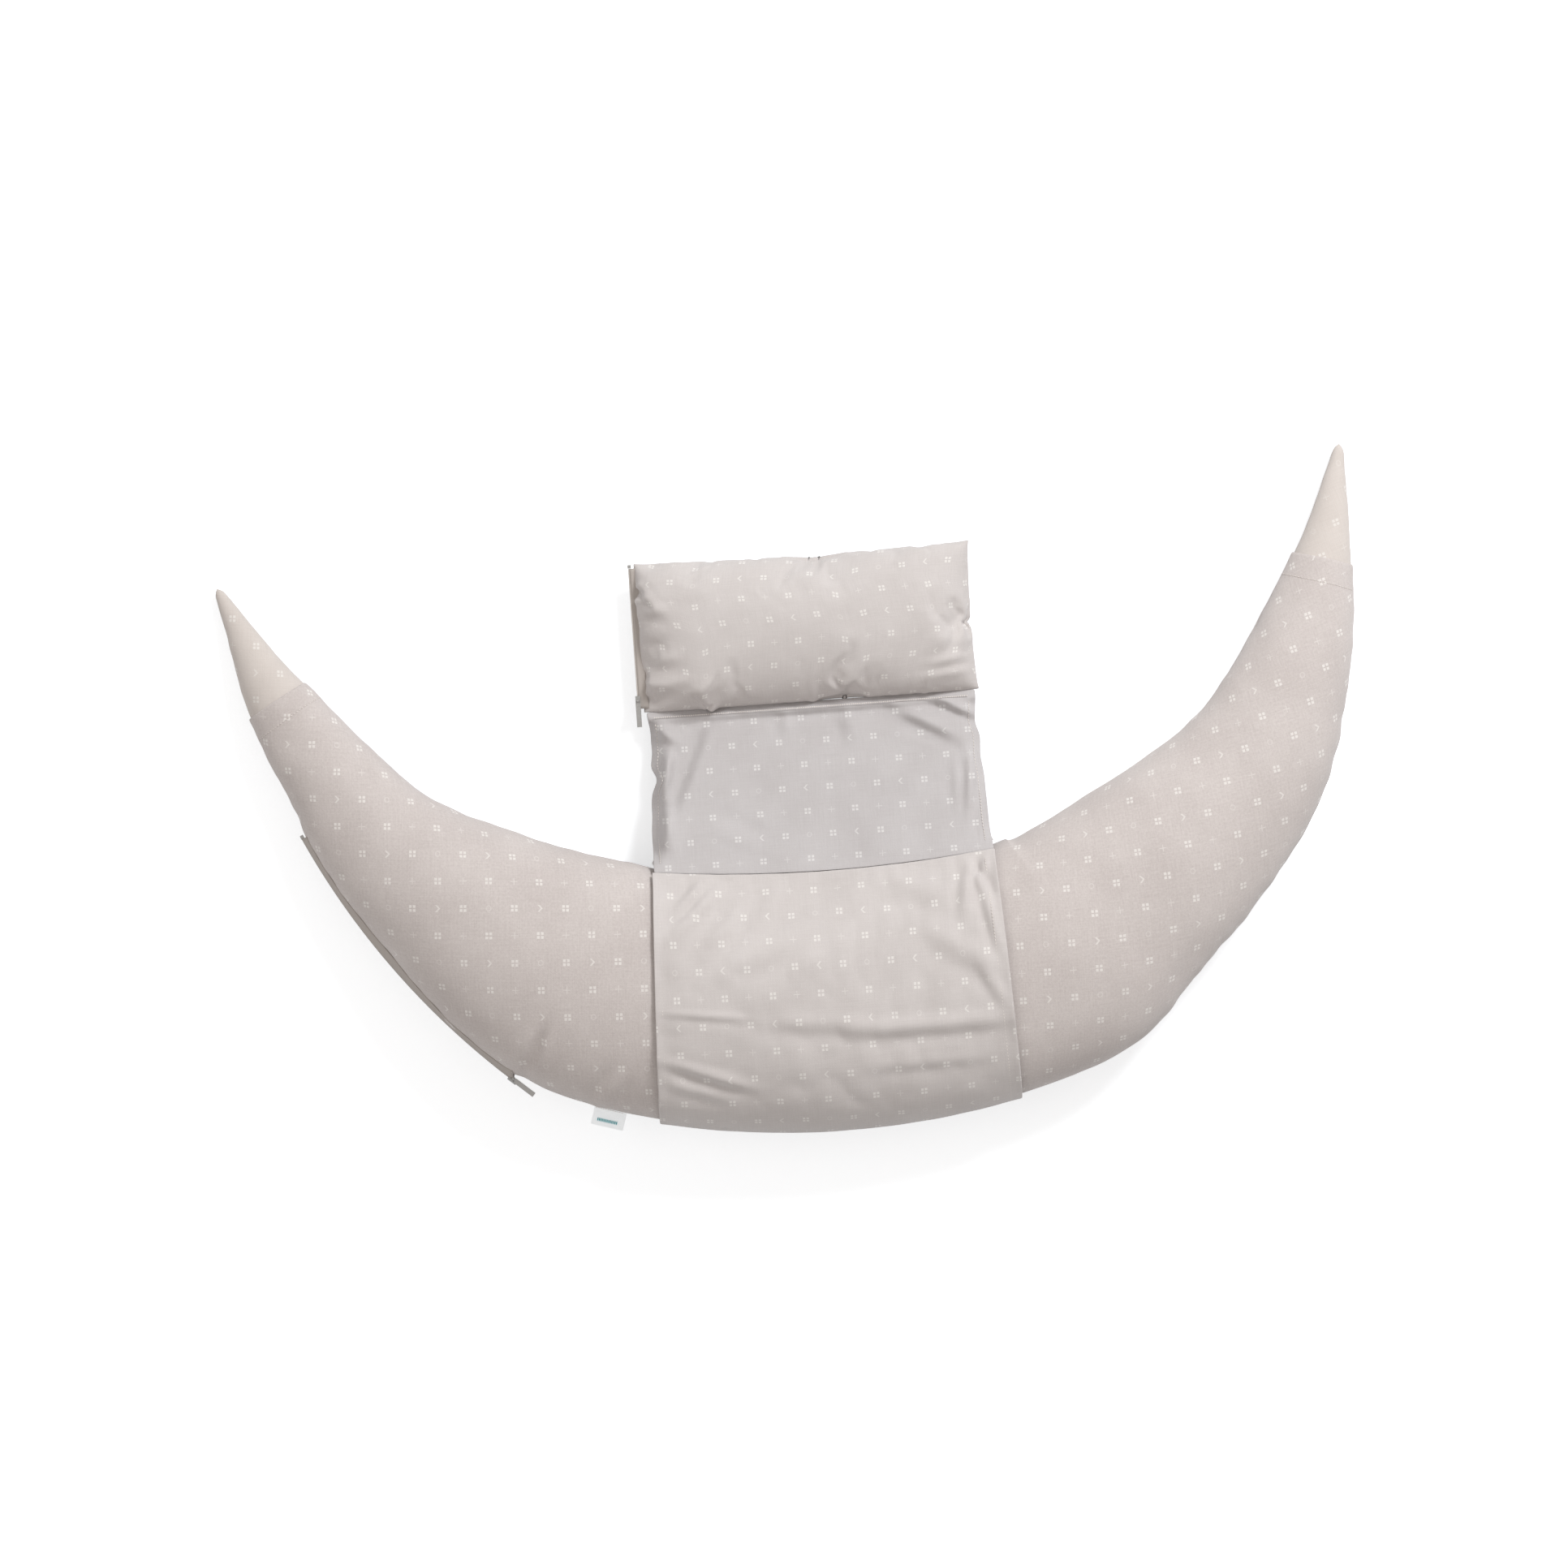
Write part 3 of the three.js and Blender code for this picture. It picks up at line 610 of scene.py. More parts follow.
def cover_half(name, side, hem, row_angles, seed, folds):
    reach = np.concatenate([np.linspace(-0.02, 1, 50), np.linspace(1, hem, 110)[1:]])
    rows = arm_rows(side, reach)
    length, along, out = centreline(rows, side)
    turns = turns_for(COVER_GIRTH)
    bulge = 0.0
    if side < 0:
        bulge = (ZIP_BULGE * smooth((reach - 1.3) / 0.3) * smooth((5.1 - reach) / 0.4))[:, None]
    points = section_grid(rows, out, turns, 0, bulge)
    angle = np.interp(reach, [k for k, _ in row_angles], [a for _, a in row_angles])
    cells = print_map(rows, side, along, length, points, angle, (0.0, -12.0))
    normal = normals_of(points)
    normal[:, [0, -1]] = (normal[:, [0]] + normal[:, [-1]]) / 2
    if np.sum(normal[:, COVER_GIRTH // 4, 2]) < 0:
        normal = -normal
    free = smooth((reach - 0.76) / 0.4)[:, None]
    lift = rim_puckers(length, turns, points, seed) * (0.15 + 0.85 * free)
    s = np.broadcast_to(length[:, None], lift.shape)
    t = np.broadcast_to(turns[None, :] * 60, lift.shape)
    lift += noise_grid(s, t, 85.0, seed + 7, 1) * 1.3 * free
    lift += fold_depth(points[:, :, 0], points[:, :, 1], folds) * (np.sin(turns)[None, :] > -0.2)
    points = points + normal * lift[:, :, None]
    points[:, :, 2] = np.maximum(points[:, :, 2], rows[:, 4][:, None] + 0.2)
    points[:, -1] = points[:, 0]
    edge = points[-1]
    inward = edge.mean(axis=0) - edge
    inward /= np.linalg.norm(inward, axis=1, keepdims=True)
    back = points[-3] - edge
    turned = [edge + inward * 1.6 - back * 0.04, edge + inward * 2.6 + back * 0.3]
    points = np.concatenate([points, np.array(turned)])
    cells = np.concatenate([cells, cells[-1:], cells[-1:]])
    piece = surface(name, points, cells, close_round=True, cap_ends=True)
    refine(piece)
    return piece, points


LEFT_FOLDS = (
    (-312, -58, -290, -14, 5, -4.6),
    (-324, -50, -300, -8, 6, 2.6),
    (-252, -88, -226, -56, 6, -3.0),
    (-238, -92, -212, -62, 6, 1.8),
)
RIGHT_FOLDS = ((330, -30, 372, 26, 9, -1.6),)
LEFT_ROWS = ((0, -2), (1, -3), (8, -5))
RIGHT_ROWS = ((0, -2), (1, 0), (3, 6), (5, 13), (8, 18))

left_cover, left_points = cover_half("left_cover", -1, HEM_REACH[-1], LEFT_ROWS, 3.0, LEFT_FOLDS)
right_cover, right_points = cover_half("right_cover", 1, HEM_REACH[1], RIGHT_ROWS, 11.0, RIGHT_FOLDS)


def tip_hood(name, side, hem, row_angles, seed):
    """The separate cloth on a tip, which starts inside the cover's hem and closes at the tip."""
    reach = np.concatenate(
        [
            np.linspace(hem - HOOD_OVERLAP, TIP_REACH, HOOD_ROWS),
            TIP_REACH + np.array([0.05, 0.09, 0.12]),
        ]
    )
    rows = arm_rows(side, np.minimum(reach, TIP_REACH))
    length, along, out = centreline(arm_rows(side, reach[:HOOD_ROWS]), side)
    along, out = (np.vstack([a, np.repeat(a[-1:], len(TIP_CLOSING), 0)]) for a in (along, out))
    last = HOOD_ROWS - 1
    for k, (push, shrink) in enumerate(TIP_CLOSING, HOOD_ROWS):
        rows[k, :2] += along[-1] * side * push
        rows[k, 2:4] = rows[last, 2:4] * shrink
        rows[k, 4] = rows[last, 3] * (1 - shrink) * 0.5
    length = np.concatenate([length, length[-1] + np.array([push for push, _ in TIP_CLOSING])])
    turns = turns_for(HOOD_GIRTH)
    points = section_grid(rows, out, turns, HOOD_INSET)
    angle = np.interp(reach, [k for k, _ in row_angles], [a for _, a in row_angles])
    cells = print_map(rows, side, along, length, points, angle, (200.0 * side, 200.0))
    normal = normals_of(points)
    if np.sum(normal[:, HOOD_GIRTH // 4, 2]) < 0:
        normal = -normal
    taper = smooth((reach - hem) / 0.3) * (0.3 + 0.7 * smooth((TIP_REACH - reach) / 1.5))
    taper = taper[:, None]
    points = points + normal * (rim_puckers(length, turns, points, seed) * taper * 0.8)[:, :, None]
    points[:, :, 2] = np.maximum(points[:, :, 2], 0.3)
    points[:, -1] = points[:, 0]
    piece = surface(name, points, cells, close_round=True, cap_ends=True)
    refine(piece)
    return piece


left_hood = tip_hood("left_tip_cloth", -1, HEM_REACH[-1], LEFT_ROWS, 21.0)
right_hood = tip_hood("right_tip_cloth", 1, HEM_REACH[1], RIGHT_ROWS, 31.0)

# ---- the wing: the sleeve and the panel lie along one sheet from the crown to the cushion ----


def profile_over(x):
    """The crescent's section at a given x, raised by the sleeve's lift: arrays of y and z."""
    half = MIDDLE_HALF_WIDTH + SLEEVE_LIFT
    bottom = RIM_SHARE * MIDDLE_THICKNESS
    top = MIDDLE_THICKNESS - bottom + SLEEVE_LIFT
    u = np.linspace(0, 2 * math.pi, 241)
    aside = -half * np.cos(u)
    crown = np.abs(np.sin(u))
    rise = np.where(
        np.sin(u) >= 0,
        top * crown**0.92,
        -(bottom + MIDDLE_LIFT - 0.2) * np.minimum(1, UNDERSIDE_FLATTENING * crown),
    )
    radius = RING_RADIUS + aside
    y = RING_CENTRE_Y - np.sqrt(radius**2 - x * x)
    return y, MIDDLE_LIFT + bottom + rise


def seam_y(x):
    """Where the sleeve is sewn to the panel: a shallow bow."""
    return 124 + 10 * (x / SLEEVE_INNER_SIDE) ** 2


# Where the upper face starts and ends in the section that profile_over gives.
UPPER_FACE = (20, 121)


def sheet_line(x):
    """The straight run of cloth from the crown to the panel's axis: its first point and its slope."""
    y, z = (values[slice(*UPPER_FACE)] for values in profile_over(x))
    slope = (z - PANEL_AXIS[1]) / (PANEL_AXIS[0] - y)
    return int(np.argmax(slope)) + UPPER_FACE[0], slope.max()


def resample(path, count):
    """Even steps along a path, and the length at each step."""
    gaps = np.linalg.norm(np.diff(path, axis=0), axis=1)
    length = np.concatenate([[0], np.cumsum(gaps)])
    want = np.linspace(0, length[-1], count + 1)
    return np.stack([np.interp(want, length, path[:, k]) for k in range(path.shape[1])], axis=1), want


def side_at(y):
    """Half width of the sleeve at a given y."""
    share = np.clip((SLEEVE_INNER_Y - y) / (SLEEVE_INNER_Y - SLEEVE_OUTER_Y), 0, 1)
    return SLEEVE_INNER_SIDE + (SLEEVE_OUTER_SIDE - SLEEVE_INNER_SIDE) * share


SLEEVE_FOLDS = (
    (-119, 122, -155, 88, 5, 5.0),
    (-104, 116, -158, 66, 6, 4.2),
    (-78, 96, -124, 50, 9, 3.4),
    (-48, 100, -104, 30, 10, 3.0),
    (70, 118, -100, 26, 13, 3.2),
    (20, 66, -60, 6, 14, 2.4),
    (-174, -52, -84, -86, 5, 3.6),
    (-172, -74, -110, -96, 5, 2.0),
    (-172, -5, -80, -18, 3, 2.4),
    (14, -36, 178, -33, 8, 3.3),
    (-70, -20, 60, -34, 8, 2.2),
    (30, -72, 150, -70, 6, 1.5),
    (163, 128, 154, 98, 4, 4.6),
    (150, 124, 166, 92, 4, -4.0),
    (158, 96, 170, 30, 5, 3.2),
    (146, 120, 136, 70, 6, 3.0),
    (60, 112, 130, 88, 11, 2.4),
    (100, 60, 168, 14, 11, 2.6),
    (150, 20, 172, -20, 6, 2.2),
)


def make_sleeve():
    columns, rows = 96, 150
    points = np.zeros((columns + 1, rows + 1, 3))
    cells = np.zeros((columns + 1, rows + 1, 2))
    for i, share in enumerate(np.linspace(-1, 1, columns + 1)):
        x = share * SLEEVE_MEAN_SIDE
        y, z = profile_over(x)
        k, _ = sheet_line(x)
        top_seam = np.array([[seam_y(x), sheet_height(x, seam_y(x))]])
        under = [[PANEL_AXIS[0] - 6, PANEL_AXIS[1] - 4.5]]
        path = np.concatenate([top_seam, np.stack([y[k:], z[k:]], axis=1), under])
        path, run = resample(path, rows)
        points[i, :, 0] = share * side_at(path[:, 0])
        points[i, :, 1:] = path
        cells[i, :, 0] = -points[i, :, 0] / SLEEVE_PITCH[0]
        cells[i, :, 1] = -(seam_y(x) - run - 8) / SLEEVE_PITCH[1]
    normal = normals_of(points)
    if normal[columns // 2, 10, 2] < 0:
        normal = -normal
    x, y = points[:, :, 0], points[:, :, 1]
    run = np.arange(rows + 1)[None, :] / rows
    upper = smooth((0.56 - run) / 0.08)
    lift = 1.3 * fold_depth(x, y, SLEEVE_FOLDS) * upper
    lift += np.abs(noise_grid(x, np.broadcast_to(run * SLEEVE_RUN, x.shape), 46.0, 5.0, 1)) * 1.8
    edge = SLEEVE_MEAN_SIDE * (1 - np.abs(x) / side_at(y))
    lift += 2.2 * np.exp(-((edge / 5.0) ** 2))
    seam_calm = smooth(run * SLEEVE_RUN / 16)
    past_rim = np.arange(rows + 1)[None, :] - np.argmin(y, axis=1)[:, None]
    rim_calm = 1 - 0.85 * np.exp(-((past_rim / 10) ** 2))
    lift = np.maximum(lift, -1.5) * smooth((points[:, :, 2] - 3) / 12) * seam_calm * rim_calm
    puckers = noise_grid(x, y * 0.2, 11.0, 2.2) * np.exp(-run * SLEEVE_RUN / 14)
    lift += 1.6 * puckers * smooth(run * SLEEVE_RUN / 3)
    points = points + normal * lift[:, :, None]
    points[:, :, 2] = np.maximum(points[:, :, 2], 1.1)
    piece = surface("sleeve", points, cells)
    thicken(piece, 1.1)
    refine(piece)
    return piece, points


def sheet_height(x, y):
    """Height of the cloth between the crown and the cushion."""
    past_axis = y - PANEL_AXIS[0]
    if past_axis < 0:
        _, slope = sheet_line(x)
        return PANEL_AXIS[1] - slope * past_axis
    span = CUSHION_AXIS[0] - PANEL_AXIS[0]
    fall = (PANEL_AXIS[1] - CUSHION_AXIS[1] - 1.5) / span
    sag = 5 * math.sin(math.pi * min(1, past_axis / span))
    return PANEL_AXIS[1] - fall * past_axis - sag


PANEL_FOLDS = (
    (-100, 283, -146, 176, 8, 5.6),
    (-84, 284, -122, 204, 10, 2.6),
    (-146, 256, -158, 206, 5, 8.5),
    (-152, 204, -162, 142, 6, 9.5),
    (-165, 289, 165, 289, 4.5, 5.0),
    (-152, 200, -150, 150, 6, 3.4),
    (-164, 284, -136, 262, 6, 4.6),
    (81, 286, 147, 249, 7, 5.2),
    (118, 294, 168, 268, 4.5, 6.5),
    (156, 232, 151, 170, 5, 5.6),
    (143, 226, 141, 176, 6, 2.8),
    (164, 200, 162, 146, 5, 3.6),
    (-60, 150, -110, 176, 9, 2.0),
    (30, 290, 44, 254, 8, 1.8),
    (-30, 292, -26, 262, 7, 1.6),
    (-40, 200, 60, 222, 30, 1.8),
)


def panel_side(y, left):
    """Half width of the panel along Y, with its side gathers and one notch a side."""
    rough = noise.noise(Vector((y / 24.0, 3.3 if left else 9.1, 0))) * (3.4 if left else 1.6)
    t = (y - SLEEVE_INNER_Y) / (CUSHION_AXIS[0] - SLEEVE_INNER_Y)
    straight = SLEEVE_INNER_SIDE - 1.5 - 5 * t
    depth, place, width = (6, 228, 9) if left else (3, 262, 10)
    return straight + rough - depth * math.exp(-(((y - place) / width) ** 2))


def make_ply(name, drop, push, seed):
    """One ply of the panel, lowered by drop, with its folds scaled by push."""
    columns, rows = 96, 52
    points = np.zeros((columns + 1, rows + 1, 3))
    cells = np.zeros((columns + 1, rows + 1, 2))
    for i, share in enumerate(np.linspace(-1, 1, columns + 1)):
        start = seam_y(share * SLEEVE_INNER_SIDE) + 0.5
        ys = np.linspace(start, CUSHION_AXIS[0] + 1, rows + 1)
        for j, y in enumerate(ys):
            x = share * panel_side(y, share < 0)
            points[i, j] = (x, y, sheet_height(x, y) - drop)
            cells[i, j] = (-x / WING_PITCH[0], -(y - 8) / WING_PITCH[1])
    x, y = points[:, :, 0], points[:, :, 1]
    lift = 1.25 * fold_depth(x, y, PANEL_FOLDS) * push
    lift += noise_grid(x, y, 52.0, seed, 1) * 1.3 * push
    ends = smooth((y - seam_y(x)) / 10) * smooth((CUSHION_AXIS[0] - y) / 9)
    to_seam = CUSHION_AXIS[0] - y
    gather = noise_grid(x, y * 0.2, 13.0, seed + 2) * 1.3
    lift = lift * ends + gather * smooth(to_seam / 4) * np.exp(-to_seam / 22)
    points[:, :, 2] += np.maximum(lift, -2.4) if push > 0.9 else lift
    margin = SLEEVE_INNER_SIDE - np.abs(x)
    curl = np.where(x < 0, 25.0, 9.0) * (1 - smooth(margin / 24)) * smooth((y - seam_y(x) - 4) / 22)
    points[:, :, 2] -= curl * smooth((to_seam - 2) / 20)
    piece = surface(name, points, cells)
    thicken(piece, 1.0)
    refine(piece)
    return piece, points


sleeve, sleeve_points = make_sleeve()
front_ply, ply_points = make_ply("panel_front", 0.0, 1.0, 14.0)
back_ply, _ = make_ply("panel_back", 4.6, 0.25, 17.0)

# ---- the cushion ----

CUSHION_CUT = (352, 162)
CUSHION_CELLS = (100, 46)
CUSHION_PRESSURE = 14.0
CUSHION_FRAMES = 34
CUSHION_UNDER = 44  # how deep the lower cloth would hang without the floor

CUSHION_DENTS = (
    (-168, 404, -138, 394, 6, 3.4),
    (-166, 372, -140, 376, 6, 2.4),
    (-164, 344, -130, 350, 6, 3.0),
    (-164, 318, -120, 326, 6, 3.6),
    (-130, 304, -90, 322, 7, 2.4),
    (160, 330, 120, 322, 5, 3.6),
    (164, 316, 112, 310, 5, 3.4),
    (150, 346, 128, 350, 6, 2.2),
)


def flat_cushion():
    """Two flat cloths, sewn along all four edges: their grid, before any filling."""
    columns, rows = CUSHION_CELLS
    width, depth = CUSHION_CUT
    x = np.linspace(-width / 2, width / 2, columns + 1)[:, None]
    y = CUSHION_AXIS[0] + np.linspace(0, depth, rows + 1)[None, :]
    x, y = np.broadcast_arrays(x, y)
    from_edge = np.minimum(width / 2 - np.abs(x), np.minimum(y - y[0, 0], y[0, -1] - y))
    lump = 2.5 * smooth(from_edge / 20)
    halves = []
    for sign, seed in ((1, 41.0), (-1, 47.0)):
        wave = noise_grid(x, y, 24.0, seed) * smooth(from_edge / 8)
        halves.append(np.stack([x, y, CUSHION_AXIS[1] + sign * lump + wave], axis=2))
    return np.concatenate([halves[0], halves[1][:, ::-1][:, 1:]], axis=1)


def print_filled(piece, shape):
    """Turns grid numbers in the UV map into print cells, measured over the filled cloth."""
    mesh = piece.data
    corners = np.empty(len(mesh.loops) * 2)
    mesh.uv_layers["UVMap"].data.foreach_get("uv", corners)
    column, row = np.rint(corners.reshape(-1, 2)).astype(int).T
    vertex = np.empty(len(mesh.loops), dtype=np.int32)
    mesh.loops.foreach_get("vertex_index", vertex)
    places = np.empty(len(mesh.vertices) * 3)
    mesh.vertices.foreach_get("co", places)
    grid = np.zeros((*shape, 3))
    grid[column, row] = places.reshape(-1, 3)[vertex] / MM
    across = np.cumsum(np.linalg.norm(np.diff(grid, axis=0, prepend=grid[:1]), axis=2), axis=0)
    round_ = np.cumsum(np.linalg.norm(np.diff(grid, axis=1, prepend=grid[:, :1]), axis=2), axis=1)
    across -= across[[shape[0] // 2]]
    round_ -= round_[:, [shape[1] // 4]]
    cells = np.stack([-across / WING_PITCH[0], -round_ / WING_PITCH[1]], axis=2)
    mesh.uv_layers["UVMap"].data.foreach_set("uv", cells[column, row].ravel())


def blow_up(piece, pressure, frames):
    """Fill a sewn cover: pressure swells the cloth, and gives the swollen places."""
    cloth = piece.modifiers.new("Cloth", "CLOTH")
    settings = cloth.settings
    settings.quality = 6
    settings.mass = 0.15
    settings.tension_stiffness = 18
    settings.compression_stiffness = 18
    settings.shear_stiffness = 5
    settings.bending_stiffness = 0.12
    settings.air_damping = 2
    settings.use_pressure = True
    settings.uniform_pressure_force = pressure
    settings.effector_weights.gravity = 0
    cloth.point_cache.frame_start = 1
    cloth.point_cache.frame_end = frames
    for k in range(1, frames + 1):
        bpy.context.scene.frame_set(k)
    swollen = piece.evaluated_get(bpy.context.evaluated_depsgraph_get())
    places = np.empty(len(piece.data.vertices) * 3)
    swollen.data.vertices.foreach_get("co", places)
    piece.modifiers.remove(cloth)
    bpy.context.scene.frame_set(1)
    return places.reshape(-1, 3) / MM


def edge_line(start_along, value, on_edge, window):
    """A sewn edge's swollen place along the edge, eased over a window, at each vertex's start place."""
    order = np.argsort(start_along[on_edge])
    places = value[on_edge][order]
    if window > 1:
        padded = np.pad(places, window // 2, mode="edge")
        places = np.convolve(padded, np.ones(window) / window, "valid")
    return np.interp(start_along, start_along[on_edge][order], places)


def fitted(value, start_along, near, far, near_to, far_to, windows):
    """Stretches the swollen cushion so that two opposite edges lie where they are sewn."""
    low = edge_line(start_along, value, near, windows[0])
    high = edge_line(start_along, value, far, windows[1])
    share = (value - low) / (high - low)
    return near_to + share * (far_to - near_to)


def make_cushion():
    """The filled cushion, stretched back to its sewn edges and pressed flat on the floor."""
    points = flat_cushion()
    grid_numbers = np.stack(np.indices(points.shape[:2]), axis=2)
    piece = surface("cushion", points, grid_numbers, close_round=True)
    start = np.array([v.co[:] for v in piece.data.vertices]) / MM
    x, y, z = blow_up(piece, CUSHION_PRESSURE, CUSHION_FRAMES).T
    width, depth = CUSHION_CUT
    x0, y0 = start[:, 0], start[:, 1] - CUSHION_AXIS[0]
    pull = np.sin(np.pi * np.clip(x0 / width + 0.5, 0, 1))
    far_y = CUSHION_FAR_Y - 4.5 * pull**0.5
    y = fitted(y, x0, y0 < 1, y0 > depth - 1, CUSHION_AXIS[0], far_y, (1, 9))
    pull = np.sin(np.pi * np.clip(y0 / depth, 0, 1)) ** 0.5
    left_x = -CUSHION_HALF_LENGTH + 1.5 * pull
    right_x = CUSHION_HALF_LENGTH - 4 * pull
    x = fitted(x, y0, x0 < 1 - width / 2, x0 > width / 2 - 1, left_x, right_x, (1, 7))
    rise = z - edge_line(x0, z, y0 < 1, 9)
    room = CUSHION_AXIS[1] - 0.4
    pressed = room * np.tanh(np.maximum(-rise, 0) / -rise.min() * CUSHION_UNDER / room)
    z = CUSHION_AXIS[1] + np.where(rise > 0, rise / rise.max() * CUSHION_TOP, -pressed)
    on_front = y0 < 1
    z[on_front] = CUSHION_AXIS[1]
    z += fold_depth(x, y, CUSHION_DENTS) * smooth((z - CUSHION_AXIS[1]) / 8)
    piece.data.vertices.foreach_set("co", (np.stack([x, y, z], axis=1) * MM).ravel())
    piece.data.update()
    print_filled(piece, points.shape[:2])
    refine(piece)
    return piece


cushion = make_cushion()

# ---- stitches ----


def stitch_row(name, path, lift=0.3, pitch=3.4, width=0.42):
    """Short threads laid end to end along a line on the cloth."""
    path = np.asarray(path)
    gaps = np.linalg.norm(np.diff(path, axis=0), axis=1)
    length = np.concatenate([[0], np.cumsum(gaps)])
    count = int(length[-1] / pitch)
    mesh = bpy.data.meshes.new(name)
    bm = bmesh.new()
    for k in range(count):
        ends = []
        for s in (k * pitch, k * pitch + pitch * 0.62):
            ends.append(Vector([np.interp(s, length, path[:, axis]) for axis in range(3)]))
        along = (ends[1] - ends[0]).normalized()
        aside = Vector((0, 0, 1)).cross(along).normalized()
        up = along.cross(aside)
        turn = Matrix((along, aside, up)).transposed().to_4x4()
        centre = (ends[0] + ends[1]) / 2 + up * lift
        size = Matrix.Diagonal((pitch * 0.36, width, 0.34, 1))
        place = Matrix.Scale(MM, 4) @ Matrix.Translation(centre) @ turn @ size
        bmesh.ops.create_uvsphere(bm, u_segments=8, v_segments=5, radius=1, matrix=place)
    bm.to_mesh(mesh)
    bm.free()
    piece = bpy.data.objects.new(name, mesh)
    bpy.context.collection.objects.link(piece)
    mesh.polygons.foreach_set("use_smooth", [True] * len(mesh.polygons))
    return piece


sleeve_right_stitches = stitch_row("sleeve_right_stitches", sleeve_points[93, 3:80], 0.9)
sleeve_left_stitches = stitch_row("sleeve_left_stitches", sleeve_points[2, 3:80], 0.9)
panel_left_stitches = stitch_row("panel_left_stitches", ply_points[2, 3:50], 0.5)
panel_right_stitches = stitch_row("panel_right_stitches", ply_points[94, 3:50], 0.5)
seam_stitches = stitch_row("seam_stitches", sleeve_points[2:95, 2], 0.5, 3.0)
cushion_seam_stitches = stitch_row("cushion_seam_stitches", ply_points[2:95, 50], 1.8, 2.2, 0.7)
left_hem_stitches = stitch_row("left_hem_stitches", left_points[-8, 3:46], 0.4)
right_hem_stitches = stitch_row("right_hem_stitches", right_points[-8, 3:46], 0.4)

# ---- zip tapes: each runs from the coil to the cloth's edge ----


def tape_strip(name, coil_edge, cloth_edge):
    """A zip's tape between two lines of points."""
    shares = np.linspace(0, 1, 5)[None, :, None]
    points = coil_edge[:, None, :] * (1 - shares) + cloth_edge[:, None, :] * shares
    cells = points[:, :, :2] / np.array(PRINT_PITCH)
    piece = surface(name, points, cells)
    thicken(piece, 0.6)
    return piece


def arm_zip_coil():
    """Points along the coil, on its arc round the slider's axis."""
    joint = next(j for j in frame["joints"] if j["name"] == "arm_zip_travel")
    centre, axis = Vector(joint["pos_m"]) / MM, Vector(joint["axis"]).normalized()
    ends = []
    for end in ARM_ZIP_REACH:
        rows = arm_rows(-1, np.array([end - 0.01, end, end + 0.01]))
        step = rows[0, :2] - rows[2, :2]
        step /= np.linalg.norm(step)
        x, y, width, thickness, lift = rows[1]
        off = width + ARM_ZIP_OFFSET
        ends.append(Vector((x + step[1] * off, y - step[0] * off, lift + RIM_SHARE * thickness)))
    flat = [end - centre - axis * (end - centre).dot(axis) for end in ends]
    total = flat[0].angle(flat[1])
    points = []
    for share in np.linspace(0, 1, 61):
        points.append(centre + Matrix.Rotation(total * share, 3, axis) @ (ends[0] - centre))
    return np.array([list(point) for point in points])


def nearest_on_cover(points, column, coil):
    """The cover's points at one round of its section that lie nearest to each point of the coil."""
    line = points[:, column]
    picks = np.array([line[np.argmin(np.linalg.norm(line - place, axis=1))] for place in coil])
    kernel = np.ones(5) / 5
    padded = np.pad(picks, ((2, 2), (0, 0)), mode="edge")
    return np.stack([np.convolve(padded[:, axis], kernel, "valid") for axis in range(3)], axis=1)


# Columns of the cover's grid that lie just over and just under its outer rim.
OVER_RIM, UNDER_RIM = 44, 52
coil_line = arm_zip_coil()
zip_tapes = {}
for edge, column, rise in (("upper", OVER_RIM, 1.0), ("lower", UNDER_RIM, -1.0)):
    on_cloth = nearest_on_cover(left_points, column, coil_line)
    beside_coil = coil_line + np.array([0, 0, rise])
    zip_tapes["arm_zip_tape_" + edge] = tape_strip("arm_tape_" + edge, beside_coil, on_cloth)

cushion_zip_x = -CUSHION_HALF_LENGTH - 3.4
along_side = np.linspace(*CUSHION_ZIP, 41)
for edge, rise in (("front", 1.0), ("back", -1.0)):
    same = np.ones_like(along_side)
    beside_coil = np.stack([cushion_zip_x * same, along_side, (CUSHION_AXIS[1] + rise) * same], axis=1)
    on_cloth = beside_coil + np.array([10, 0, 1.4 * rise])
    zip_tapes["cushion_zip_tape_" + edge] = tape_strip("cushion_tape_" + edge, beside_coil, on_cloth)

# ---- pieces find their bodies ----


for piece, slot_name, material in (
    (left_cover, "printed_cotton", crescent_cotton),
    (right_cover, "printed_cotton", crescent_cotton),
    (left_hood, "printed_cotton", tip_cotton),
    (right_hood, "printed_cotton", tip_cotton),
    (sleeve, "wing_cotton", wing_cotton),
    (front_ply, "wing_cotton", shaded_panel_cotton),
    (back_ply, "wing_cotton", shaded_panel_cotton),
    (cushion, "wing_cotton", wing_cotton),
):
    paint(piece, material)

for node_name, strip in zip_tapes.items():
    paint(strip, tape)
    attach(strip, "left_arm" if node_name.startswith("arm") else "cushion")
    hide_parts(node_name)

for row, body in (
    (sleeve_left_stitches, "sleeve"),
    (sleeve_right_stitches, "sleeve"),
    (seam_stitches, "sleeve"),
    (left_hem_stitches, "left_arm"),
    (right_hem_stitches, "right_arm"),
):
    paint(row, thread)
    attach(row, body)
paint(cushion_seam_stitches, thread)
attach(cushion_seam_stitches, "panel")
for row in (panel_left_stitches, panel_right_stitches):
    paint(row, thread)
    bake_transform(row)

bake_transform(left_cover)
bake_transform(right_cover)
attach(left_hood, "left_arm")
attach(right_hood, "right_arm")
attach(sleeve, "sleeve")
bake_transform(front_ply)
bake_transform(back_ply)
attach(cushion, "cushion")

